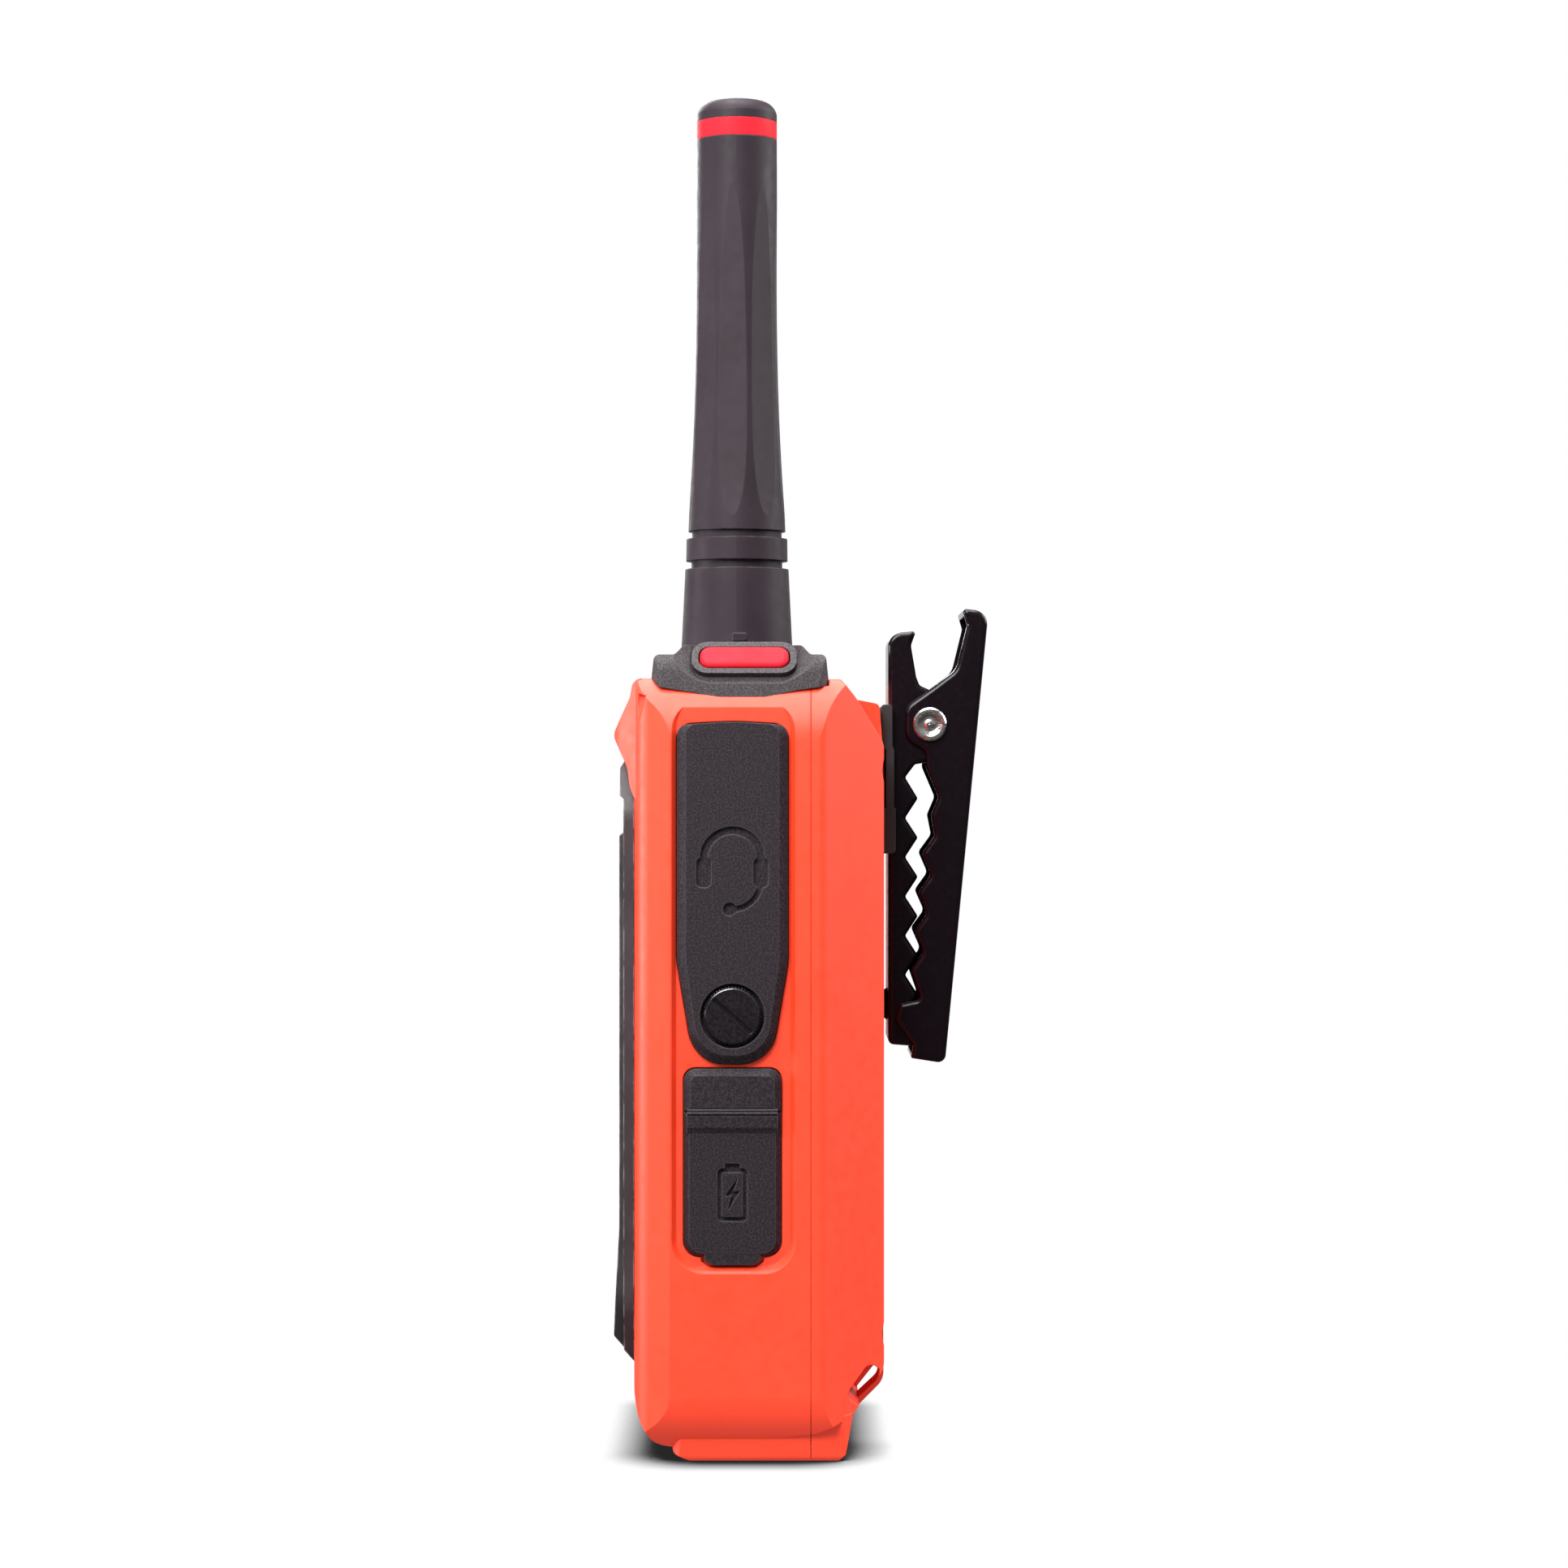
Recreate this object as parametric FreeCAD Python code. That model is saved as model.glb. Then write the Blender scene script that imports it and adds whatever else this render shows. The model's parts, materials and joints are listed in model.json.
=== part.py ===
import FreeCAD, Part
import math
import os

# Handheld two-way radio with a whip antenna and a spring clip on its back.
# Millimetres. Origin: centre of the underside of the foot. +Z is up, the display faces -Y,
# and +X is the side that carries the headset and charging covers.

V = FreeCAD.Vector

# ---- driving dimensions -------------------------------------------------------------------
HALF_WIDTH = 30.0
FRONT_Y = -18.7
BACK_Y = 18.5
SEAM_Y = 7.6
WALL = 2.0
BODY_TOP_Z = 115.5
CAP_TOP_Z = 120.6
FIT_GAP = 0.15
SLIDE_GAP = 0.2

# side covers, on +X
COVER_Y = -4.0
COVER_HALF = 8.15
COVER_TOP_Z = 109.2
COVER_SEAT_X = 27.8
COVER_FACE_X = 30.7
SCREW_Z = 66.0
SCREW_R = 1.95
INSERT_R = 2.95
INSERT_MOUTH_X = 27.6
SHANK_END_X = 22.0
JACK_LARGE_Z = 92.5
JACK_SMALL_Z = 81.5
FLAP_HALF = 7.15
FLAP_TOP_Z = 58.2
FLAP_BOTTOM_Z = 30.6
FLAP_TAB_Z = 29.4
FLAP_SEAT_X = 28.0
FLAP_FACE_X = 30.3
FLAP_LOW_X = 29.9
STUB_Z = 55.3
CREASE_Z = 51.9
RIDGE_END_Z = 48.7
USB_Z = 40.0

# antenna
ANTENNA_X = -14.0
ANTENNA_Y = -3.9
ANTENNA_BASE_Z = CAP_TOP_Z
ANTENNA_TIP_Z = 208.3
BAND_Z = (202.0, 204.8)
TIP_R = 6.34
THREAD_R = 3.1
THREAD_TOP_Z = CAP_TOP_Z + 4.3

# clip
PIVOT_Y = 25.8
PIVOT_Z = 109.1
CLIP_BACK_Y = 19.5
SHEET = 0.9
FIXED_HALF = 7.5
MOVING_HALF = 8.6
TOOTH_PITCH = 6.0
JAW_LEAN_DEG = 5.5

# top button, on the sloping shoulder of the cap
BUTTON_TILT_DEG = 50.0
BUTTON_CENTRE = V(24.9, -2.3, 118.7)
BUTTON_HALF_Y = 6.6
BUTTON_HALF_S = 1.95

# left side controls and front keys
PTT_Z = (61.0, 91.0)
SIDE_KEY_Z = ((45.0, 54.5), (31.0, 40.5))
SIDE_KEY_Y = (-9.5, 2.5)
KEY_Z = 60.4
KEY_XS = (-14.4, -4.8, 4.8, 14.4)
KEY_HALF = (3.9, 3.0)
KEY_FACE_Y = -21.0

SCREW_SPOTS = ((-19.0, 18.0), (19.0, 18.0), (-19.0, 102.0), (19.0, 102.0))
SPEAKER_Z = 36.0
MIC_SPOT = (13.5, -23.0, 54.2)
LIGHT_SPOT = (14.5, -23.0, 100.9)
LENS_Z = (69.0, 98.4)
LENS_HALF = 17.5


# ---- drawing helpers ----------------------------------------------------------------------
def point(plane, u, v, w):
    """A point of a drawing plane, where w is the distance along the plane's normal axis."""
    if plane == "YZ":
        return V(w, u, v)
    if plane == "XZ":
        return V(u, w, v)
    return V(u, v, w)


def outline(corners, plane, level):
    """A closed wire through corners (u, v) or (u, v, radius), each rounded by its radius."""
    spots = [point(plane, c[0], c[1], level) for c in corners]
    radii = [c[2] if len(c) > 2 else 0.0 for c in corners]
    count = len(spots)
    runs = []
    for i, spot in enumerate(spots):
        before = (spots[i - 1] - spot).normalize()
        after = (spots[(i + 1) % count] - spot).normalize()
        if radii[i] <= 0:
            runs.append((spot, None, spot))
            continue
        half = before.getAngle(after) / 2
        reach = radii[i] / math.tan(half)
        towards = (before + after).normalize()
        middle = spot + towards * (radii[i] / math.sin(half) - radii[i])
        runs.append((spot + before * reach, middle, spot + after * reach))
    edges = []
    for i, (start, middle, end) in enumerate(runs):
        if middle is not None:
            edges.append(Part.Arc(start, middle, end).toShape())
        following = runs[(i + 1) % count][0]
        if (following - end).Length > 1e-6:
            edges.append(Part.LineSegment(end, following).toShape())
    return Part.Wire(edges)


def prism(corners, plane, start, end):
    """The outline extruded along its plane's normal axis, from start to end."""
    face = Part.Face(outline(corners, plane, start))
    return face.extrude(point(plane, 0, 0, end - start))


def rectangle(u0, u1, v0, v1, radius=0.0):
    return [(u0, v0, radius), (u1, v0, radius), (u1, v1, radius), (u0, v1, radius)]


def block(x, y, z, radius=0.0, plane="XY"):
    """A box from three (low, high) spans, its corners rounded in one drawing plane."""
    spans = {"XY": (x, y, z), "XZ": (x, z, y), "YZ": (y, z, x)}[plane]
    (u0, u1), (v0, v1), (w0, w1) = spans
    return prism(rectangle(u0, u1, v0, v1, radius), plane, w0, w1)


def rod(radius, start, direction, length):
    return Part.makeCylinder(radius, length, start, direction)


def frustum(lower, upper, plane, start, end):
    """A straight-sided solid between two outlines on parallel planes."""
    return Part.makeLoft([outline(lower, plane, start), outline(upper, plane, end)], True, True)


def lathe(profile, centre, axis):
    """A solid of revolution from (radius, height) points about axis through centre."""
    side = V(0, 1, 0) if abs(axis.y) < 0.5 else V(1, 0, 0)
    spots = [centre + side * r + axis * h for r, h in profile]
    face = Part.Face(Part.makePolygon(spots + spots[:1]))
    return face.revolve(centre, axis, 360)


def fused(*shapes):
    return shapes[0].multiFuse(list(shapes[1:])).removeSplitter()


def fillet(shape, radius, wanted):
    """Rounds the edges that wanted(edge) picks."""
    return shape.makeFillet(radius, [e for e in shape.Edges if wanted(e)])


def flat_at(edge, axis, value, tolerance=0.02):
    """True if the whole edge lies where that coordinate has that value."""
    box = edge.BoundBox
    low, high = {"x": (box.XMin, box.XMax), "y": (box.YMin, box.YMax), "z": (box.ZMin, box.ZMax)}[axis]
    return abs(low - value) < tolerance and abs(high - value) < tolerance


def mirrored(shape):
    return shape.mirror(V(0, 0, 0), V(1, 0, 0))


# ---- body shells --------------------------------------------------------------------------
def body_side(inset=0.0):
    """Side view of the body: y, z, corner radius."""
    i = inset
    return [
        (-12.0, 1.6 + i), (8.5, 4.3 + i, 3.0), (13.6, 6.6 + i, 0.6),
        (BACK_Y - i, 12.8 + i, 3.0), (BACK_Y - i, 106.0 - i, 3.0),
        (14.2 - i, 112.8 - i, 1.0), (12.0 - i, BODY_TOP_Z - i, 0.8),
        (FRONT_Y + i, BODY_TOP_Z - i, 1.6), (FRONT_Y + i, 7.6 + i, 12.0),
        (-15.6 + i, 2.4 + i, 4.0),
    ]


def body_plan(inset=0.0):
    """The body seen from above: rounded at the front, chamfered at the back."""
    half, front, back = HALF_WIDTH - inset, FRONT_Y + inset, BACK_Y - inset
    cut = inset * 0.4
    return [
        (-half, -13.2), (-half + 2.2, front + 0.9, 3.2), (-half + 7.0, front, 4.0),
        (half - 7.0, front, 4.0), (half - 2.2, front + 0.9, 3.2), (half, -13.2),
        (half, 9.4 - cut, 1.6), (half - 8.6 + cut, back, 1.6),
        (-half + 8.6 - cut, back, 1.6), (-half, 9.4 - cut, 1.6),
    ]


def body_front(inset=0.0):
    half, top = HALF_WIDTH - inset, BODY_TOP_Z + 3 - inset
    return [
        (-half, 1.0 + inset, 9.0), (half, 1.0 + inset, 9.0), (half, top, 12.0), (-half, top, 12.0),
    ]


def body_form(inset=0.0):
    """The body's form without visor, foot or boss, made of three crossed outlines."""
    form = prism(body_side(inset), "YZ", -40, 40)
    form = form.common(prism(body_plan(inset), "XY", -5, 130))
    return form.common(prism(body_front(inset), "XZ", -40, 40))


SEAT = [
    (-16.05, 115.6), (-14.9, 114.3, 0.8), (-10.0, 113.5, 3.0), (-6.0, 112.8, 4.0),
    (0.8, 112.8, 4.0), (5.5, 113.8, 3.0), (10.25, 114.5),
]


def cap_space():
    """Everything above the curved seat that the top cap sits on."""
    return prism(SEAT + [(10.25, 130), (-16.05, 130)], "YZ", -40, 40)


def visor():
    """The brow over the display, which leans out past the front face."""
    side = [
        (-14.0, 113.8), (-14.0, 95.0), (FRONT_Y, 95.0, 6.0), (-19.7, 102.4, 5.0),
        (-22.0, 107.3, 1.7), (-19.3, 112.9, 3.0), (-18.8, 115.6, 1.5), (-16.05, 115.6),
    ]
    brow = prism(side, "YZ", -27, 27)
    plan = [
        (-27.0, -12.0), (-27.0, -16.5, 3.0), (-20.5, -21.9, 5.0),
        (20.5, -21.9, 5.0), (27.0, -16.5, 3.0), (27.0, -12.0),
    ]
    return brow.common(prism(plan, "XY", 90, 120)).common(prism(body_front(), "XZ", -40, 40))


def clip_boss():
    """The raised pad at the top of the back that carries the clip bracket."""
    side = [
        (8.0, 112.6), (14.2, 112.8, 0.6), (18.0, 112.1, 0.8),
        (BACK_Y, 106.0, 0.8), (BACK_Y, 86.0), (8.0, 86.0),
    ]
    plan = [(-17.0, 8.0), (17.0, 8.0), (12.5, BACK_Y, 1.0), (-12.5, BACK_Y, 1.0)]
    return prism(side, "YZ", -20, 20).common(prism(plan, "XY", 80, 120))


def foot():
    side = [
        (-12.9, 3.6), (-12.9, 1.2, 0.8), (-10.3, 0.0, 1.5), (11.6, 0.0, 0.8),
        (12.7, 1.0, 0.6), (13.8, 7.0),
    ]
    front = [(-27.6, 8.0), (-26.8, 0.0, 1.0), (26.8, 0.0, 1.0), (27.6, 8.0)]
    plan = rectangle(-27.6, 27.6, -13.0, 14.0, 3.0)
    shape = prism(side, "YZ", -30, 30).common(prism(front, "XZ", -20, 20))
    return shape.common(prism(plan, "XY", -1, 9))


BAR_X = (11.5, 17.5)
STRAP_POCKET_X = (7.5, 31.0)


def strap_bar():
    """The bar across the lower back corner that a wrist strap threads round."""
    side = [(10.0, 8.0), (13.2, 5.3), (18.5, 10.6, 3.0), (18.5, 16.0), (10.0, 16.0)]
    return prism(side, "YZ", *BAR_X)


def strap_pocket():
    """The slanting hole behind the bar, open on both sides of it."""
    side = [(14.6, 7.9, 0.3), (17.7, 10.8, 1.8), (17.8, 12.9, 0.3), (16.2, 14.2, 1.2), (12.6, 9.7, 1.2)]
    return prism(side, "YZ", *STRAP_POCKET_X)


def side_pocket(sign):
    """The shallow recess round the side covers, its walls sloping."""
    deep, proud = HALF_WIDTH - 1.0, HALF_WIDTH + 0.4
    inner = [(-12.3, 29.0, 4.0), (4.5, 29.0, 4.0), (4.5, 113.2, 5.0), (-12.3, 113.2, 5.0)]
    outer = [(-13.2, 27.8, 5.0), (5.6, 27.8, 5.0), (5.6, 114.6, 6.0), (-13.2, 114.6, 6.0)]
    return frustum(inner, outer, "YZ", sign * deep, sign * proud)


def cover_outline(grow=0.0):
    """Headset cover, seen from +X: y, z, corner radius. Narrows to a round end under the screw."""
    g = grow
    y0, y1 = COVER_Y - COVER_HALF - g, COVER_Y + COVER_HALF + g
    end = 58.9 - g
    return [
        (y0, COVER_TOP_Z - 0.5 + g, 2.2 + g), (COVER_Y, COVER_TOP_Z + g, 40.0),
        (y1, COVER_TOP_Z - 0.5 + g, 2.2 + g),
        (y1, 74.0, 12.0), (COVER_Y + 5.6 + g, end, 5.4 + g), (COVER_Y - 5.6 - g, end, 5.4 + g),
        (y0, 74.0, 12.0),
    ]


def flap_outline(grow=0.0, top=FLAP_TOP_Z):
    g = grow
    return [
        (COVER_Y - FLAP_HALF - g, top + g, 1.8), (COVER_Y + FLAP_HALF + g, top + g, 1.8),
        (COVER_Y + FLAP_HALF + g, FLAP_BOTTOM_Z - g, 2.4), (COVER_Y - FLAP_HALF - g, FLAP_BOTTOM_Z - g, 2.4),
    ]


def symmetric(points):
    """A closed outline from the +Y half's points, mirrored about the covers' centre line."""
    right = [(COVER_Y + p[0], *p[1:]) for p in points]
    left = [(COVER_Y - p[0], *p[1:]) for p in reversed(points)]
    return right + left


def finger_notch():
    """The scoop under the flap's tab, where a nail goes in."""
    half, low = 4.8, FLAP_TAB_Z - 0.4
    notch = symmetric([(half, 32.0), (half - 0.2, low + 0.8), (half - 1.3, low, 0.6)])
    return prism(notch, "YZ", FLAP_SEAT_X, HALF_WIDTH + 0.5)


def left_control_holes():
    """Openings in the -X wall for the talk button and the two keys below it."""
    y0, y1 = SIDE_KEY_Y
    spans = (PTT_Z,) + SIDE_KEY_Z
    gap = SLIDE_GAP
    return [block((-31, -26), (y0 - gap, y1 + gap), (z0 - gap, z1 + gap), 2.6, "YZ") for z0, z1 in spans]


def screw_column(x, z, y0, y1, radius=3.0):
    return rod(radius, V(x, y0, z), V(0, 1, 0), y1 - y0)


def key_openings(y0, y1):
    """Openings for the four front keys, between two depths."""
    wide, tall = KEY_HALF[0] + SLIDE_GAP, KEY_HALF[1] + SLIDE_GAP
    return [block((x - wide, x + wide), (y0, y1), (KEY_Z - tall, KEY_Z + tall), 1.6, "XZ") for x in KEY_XS]


def jack_bay(x0, x1):
    """Room for the block of headset sockets behind their cover."""
    low, high = JACK_SMALL_Z - 5.2, JACK_LARGE_Z + 5.2
    return block((x0, x1), (COVER_Y - 5.2, COVER_Y + 5.2), (low, high), 1.0, "YZ")


def seam_groove():
    """The fine line where the half-shells meet: a shallow step round the front one's edge."""
    slab = block((-40, 40), (SEAM_Y - 0.1, SEAM_Y + 1), (-1, 130))
    inner_foot = block((-26.7, 26.7), (SEAM_Y - 2, SEAM_Y + 2), (0.1, 9.0))
    return slab.cut(fused(body_form(0.1), inner_foot))


def brow_grooves():
    """A short slanting groove on each side of the visor, under the corner's rounded lobe."""
    groove = rod(0.9, V(27.5, -18.6, 109.6), V(0, 0.32, 0.95), 3.8)
    return [groove, mirrored(groove)]


def front_shell():
    outer = fused(body_form(), visor(), foot())
    shell = outer.cut(body_form(WALL))
    # pads behind the side covers, so that their seats have a floor
    cover_pad = block((24.6, 28.6), (-14.0, 6.2), (58.8, 111.0))
    flap_pad = block((25.6, 28.6), (-13.0, 5.4), (26.0, 60.5))
    columns = [screw_column(x, z, FRONT_Y + 1, SEAM_Y) for x, z in SCREW_SPOTS]
    extras = fused(cover_pad, flap_pad, *columns).common(body_form())
    shell = fused(shell, extras)
    shell = shell.cut(block((-40, 40), (SEAM_Y, 30), (-1, 130)))
    display = (LENS_Z[0] + 1.5, LENS_Z[1] - 1.5)
    cutters = [
        cap_space(), side_pocket(1), side_pocket(-1),
        prism(cover_outline(FIT_GAP), "YZ", COVER_SEAT_X, 34),
        prism(flap_outline(FIT_GAP), "YZ", FLAP_SEAT_X, 34),
        finger_notch(),
        # behind the covers: headset sockets, screw insert, charging socket and the flap's stub
        jack_bay(20, 28),
        rod(INSERT_R + 0.02, V(20, COVER_Y, SCREW_Z), V(1, 0, 0), 10),
        block((20, 29), (COVER_Y - 2.4, COVER_Y + 2.4), (USB_Z - 5.2, USB_Z + 5.2), 2.2, "YZ"),
        rod(1.4, V(20, COVER_Y, STUB_Z), V(1, 0, 0), 10),
        # recess under the visor for the front panel's upper end
        prism(fascia_front(0.1), "XZ", -30, FRONT_Y),
        # display, speaker, microphone and status light
        block((-LENS_HALF + 1.5, LENS_HALF - 1.5), (-20, -14), display, 1.0, "XZ"),
        rod(16.0, V(0, -20, SPEAKER_Z), V(0, 1, 0), 5),
        rod(0.8, V(*MIC_SPOT), V(0, 1, 0), 8),
        rod(1.1, V(*LIGHT_SPOT), V(0, 1, 0), 8),
        # antenna post through the roof
        rod(THREAD_R + 0.2, V(ANTENNA_X, ANTENNA_Y, 108), V(0, 0, 1), 10),
        gasket_ring(0.0, SEAM_Y - 0.7, SEAM_Y + 0.1),
        seam_groove(),
    ]
    cutters += left_control_holes() + key_openings(-20, -14) + brow_grooves()
    cutters += [rod(1.0, V(x, -10, z), V(0, 1, 0), 20) for x, z in SCREW_SPOTS]
    return shell.cut(Part.makeCompound(cutters))


def gasket_ring(slack, y0, y1):
    """The seal between the shells: a rectangular ring that follows the wall."""
    half, low, high = HALF_WIDTH - 0.7, 6.6, 110.4
    outer = rectangle(-half + 1.0 - slack, half - 1.0 + slack, low, high, 5.0)
    inner = rectangle(-half + 2.0 + slack, half - 2.0 - slack, low + 1.0 + slack, high - 1.0 - slack, 4.0)
    return prism(outer, "XZ", y0, y1).cut(prism(inner, "XZ", y0 - 1, y1 + 1))


def rear_shell():
    outer = fused(body_form(), clip_boss(), foot(), strap_bar())
    hollow = body_form(WALL).cut(block((4, 27), (6.5, 30), (0, 15.4)))
    shell = outer.cut(hollow)
    columns = [screw_column(x, z, SEAM_Y, BACK_Y - 1) for x, z in SCREW_SPOTS]
    clip_columns = [screw_column(0, z, 13.0, BACK_Y - 0.5, 2.6) for z in CLIP_SCREW_ZS]
    shell = fused(shell, *columns, *clip_columns)
    shell = shell.cut(block((-40, 40), (-40, SEAM_Y), (-1, 130)))
    cutters = [cap_space(), strap_pocket()]
    for x, z in SCREW_SPOTS:
        cutters.append(rod(1.35, V(x, 0, z), V(0, 1, 0), 30))
        cutters.append(rod(2.6, V(x, BACK_Y - 2.2, z), V(0, 1, 0), 5))
    cutters += [rod(1.2, V(0, 14.2, z), V(0, 1, 0), 10) for z in CLIP_SCREW_ZS]
    return shell.cut(Part.makeCompound(cutters))


CLIP_SCREW_ZS = (102.5, 93.0)


# ---- top cap and its button ---------------------------------------------------------------
def tilted(shape):
    """Moves a shape drawn about the origin, with +Z outwards, onto the button's slope."""
    shape = shape.copy()
    shape.rotate(V(0, 0, 0), V(0, 1, 0), BUTTON_TILT_DEG)
    shape.translate(BUTTON_CENTRE)
    return shape


def button_prism(grow, low, high, radius):
    """The button's outline drawn out by grow, before it is tilted."""
    s, y = BUTTON_HALF_S + grow, BUTTON_HALF_Y + grow
    return block((-s, s), (-y, y), (low, high), radius)


def button_scoop():
    """A shallow bowl round the button that flares out to the cap's side. Width grows with height."""
    # height above the button's seat, half its width, reach down the slope, corner radius
    levels = (
        (-0.9, 7.5, 4.2, 3.0), (0.2, 8.3, 5.4, 3.4), (1.2, 10.2, 7.6, 4.6),
        (2.6, 12.6, 10.6, 6.2), (5.2, 15.5, 15.0, 8.5),
    )
    sections = []
    for height, half_y, low_s, radius in levels:
        corners = rectangle(-high_s(height), low_s, -half_y, half_y, radius)
        sections.append(outline(corners, "XY", height))
    return tilted(Part.makeLoft(sections, True, False))


def high_s(height):
    """How far the bowl reaches up the slope at a height, kept just short of the cap's top."""
    return 3.4 + 0.25 * height


def top_cap():
    ledge, slope_end = 119.15, 0.7
    side = SEAT + [
        (9.75, ledge, 0.9), (7.5, ledge, 0.9), (6.2, CAP_TOP_Z, slope_end),
        (-11.3, CAP_TOP_Z, slope_end), (-12.6, ledge, 0.9), (-15.6, ledge, 0.9),
    ]
    front = [
        (-28.3, 111.0), (28.3, 111.0), (27.4, 117.8, 4.0), (24.9, CAP_TOP_Z, 2.0),
        (-24.9, CAP_TOP_Z, 2.0), (-27.4, 117.8, 4.0),
    ]
    plan = rectangle(-28.3, 28.3, -16.05, 10.25, 3.2)
    cap = prism(side, "YZ", -40, 40).common(prism(front, "XZ", -30, 30))
    collar = Part.makeCone(9.9, 9.2, 3.0, V(ANTENNA_X, ANTENNA_Y, CAP_TOP_Z - 3.0), V(0, 0, 1))
    cap = fused(cap.common(prism(plan, "XY", 100, 130)), collar)
    hole = tilted(button_prism(SLIDE_GAP, -3.0, 3.0, 1.7))
    room = tilted(button_prism(1.3, -7.0, -2.4, 2.0))
    hollow = block((-25.5, 21.0), (-12.5, 6.5), (112.0, 118.0), 2.5)
    hollow = hollow.cut(rod(6.8, V(ANTENNA_X, ANTENNA_Y, 115.6), V(0, 0, 1), 5))
    socket_bore = rod(THREAD_R + 0.15, V(ANTENNA_X, ANTENNA_Y, 112), V(0, 0, 1), 12)
    ring = tilted(button_prism(1.15, -2.5, 0.1, 2.4))
    cap = fused(cap.cut(button_scoop()), ring)
    return cap.cut(Part.makeCompound([hole, room, hollow, socket_bore]))


def top_button():
    face = button_prism(0.0, -2.6, 0.6, 1.6)
    face = fillet(face, 0.7, lambda e: flat_at(e, "z", 0.6))
    flange = button_prism(0.7, -3.6, -2.6, 1.8)
    plunger = rod(1.2, V(0, 0, -4.2), V(0, 0, 1), 0.8)
    return tilted(fused(face, flange, plunger))


def top_switch():
    board = block((-2.6, 2.6), (-6.0, 6.0), (-6.2, -5.4), 0.6)
    body = block((-1.9, 1.9), (-1.9, 1.9), (-5.4, -4.9))
    return tilted(fused(board, body))


# ---- headset cover ------------------------------------------------------------------------
def headset_cover():
    plate = prism(cover_outline(), "YZ", COVER_SEAT_X + 0.3, COVER_FACE_X - 0.9)
    bevel = frustum(bevel_outline(0.0), bevel_outline(1.3), "YZ", COVER_FACE_X - 0.9, COVER_FACE_X)
    screw_seat = rod(4.75, V(COVER_FACE_X - 1.5, COVER_Y, SCREW_Z), V(1, 0, 0), 3)
    shank_bore = rod(SCREW_R + 0.2, V(20, COVER_Y, SCREW_Z), V(1, 0, 0), 12)
    seal_seat = cover_seal_ring(0.1).cut(block((28.7, 40), (-40, 40), (0, 130)))
    cutters = Part.makeCompound([screw_seat, shank_bore, seal_seat, headset_mark()])
    return fused(plate, bevel).cut(cutters)


def headset_mark():
    """A headset, sunk into the cover's face: a band over two ear cups, and a microphone boom."""
    deep, out, x = COVER_FACE_X - 0.6, 2.0, V(1, 0, 0)
    y, z = COVER_Y, 89.0
    centre = V(deep, y, z)
    band = rod(4.8, centre, x, out).cut(rod(3.6, centre, x, out))
    band = band.cut(block((20, 40), (y - 6, y + 6), (z - 6, z)))
    cups = []
    for middle in (y - 4.2, y + 4.2):
        cups.append(block((deep, deep + out), (middle - 1.1, middle + 1.1), (z - 4.2, z + 0.2), 0.8, "YZ"))
    boom = rod(4.6, V(deep, y, z - 3.2), x, out).cut(rod(3.7, V(deep, y, z - 3.2), x, out))
    boom = boom.common(block((20, 40), (y, y + 6), (z - 9, z - 4.0)))
    tip = rod(1.0, V(deep, y - 0.4, z - 7.35), x, out)
    return fused(band, *cups, boom, tip)


def bevel_outline(inset):
    """The cover's outline drawn in by inset along its long sides and round its lower end."""
    y0, y1 = COVER_Y - COVER_HALF + inset, COVER_Y + COVER_HALF - inset
    end = 58.9 + inset
    side = 5.6 - 0.55 * inset
    return [
        (y0, COVER_TOP_Z - 0.5, 1.6), (COVER_Y, COVER_TOP_Z, 40.0), (y1, COVER_TOP_Z - 0.5, 1.6),
        (y1, 74.0, 12.0), (COVER_Y + side, end, 5.4 - 0.4 * inset), (COVER_Y - side, end, 5.4 - 0.4 * inset),
        (y0, 74.0, 12.0),
    ]


def cover_seal_ring(slack):
    """The rubber ring under the cover, round the two jacks."""
    wide, thin = 6.4 + slack, 5.4 - slack
    outer = rectangle(COVER_Y - wide, COVER_Y + wide, JACK_SMALL_Z - wide, JACK_LARGE_Z + wide, 2.0)
    inner = rectangle(COVER_Y - thin, COVER_Y + thin, JACK_SMALL_Z - thin, JACK_LARGE_Z + thin, 1.2)
    ring = prism(outer, "YZ", COVER_SEAT_X + 0.02, COVER_SEAT_X + 0.9 + slack)
    return ring.cut(prism(inner, "YZ", COVER_SEAT_X - 1, COVER_SEAT_X + 3))


def cover_screw():
    """Coin-slot screw with a knurled rim. Its slot slants down towards the back."""
    axis = V(1, 0, 0)
    seat_x = COVER_FACE_X - 1.5 + 0.35
    head_r, head_high, tooth_r, tooth_count = 4.15, 1.05, 0.17, 54
    head = rod(head_r, V(seat_x, COVER_Y, SCREW_Z), axis, head_high)
    head = fillet(head, 0.35, lambda e: flat_at(e, "x", seat_x + head_high))
    teeth = []
    for i in range(tooth_count):
        tooth = rod(tooth_r, V(seat_x + 0.1, COVER_Y, SCREW_Z + head_r), axis, 0.65)
        tooth.rotate(V(seat_x, COVER_Y, SCREW_Z), axis, 360.0 * i / tooth_count)
        teeth.append(tooth)
    slot = block((seat_x + 0.3, seat_x + 2), (-0.38, 0.38), (-3.85, 3.85), 0.37, "YZ")
    slot.rotate(V(0, 0, 0), axis, 49.0)
    slot.translate(V(0, COVER_Y, SCREW_Z))
    shank = rod(SCREW_R, V(SHANK_END_X, COVER_Y, SCREW_Z), axis, seat_x - SHANK_END_X)
    return fused(head, shank, *teeth).cut(slot)


def screw_washer():
    seat_x = COVER_FACE_X - 1.5
    ring = rod(3.6, V(seat_x, COVER_Y, SCREW_Z), V(1, 0, 0), 0.33)
    return ring.cut(rod(SCREW_R + 0.1, V(seat_x - 1, COVER_Y, SCREW_Z), V(1, 0, 0), 3))


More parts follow.
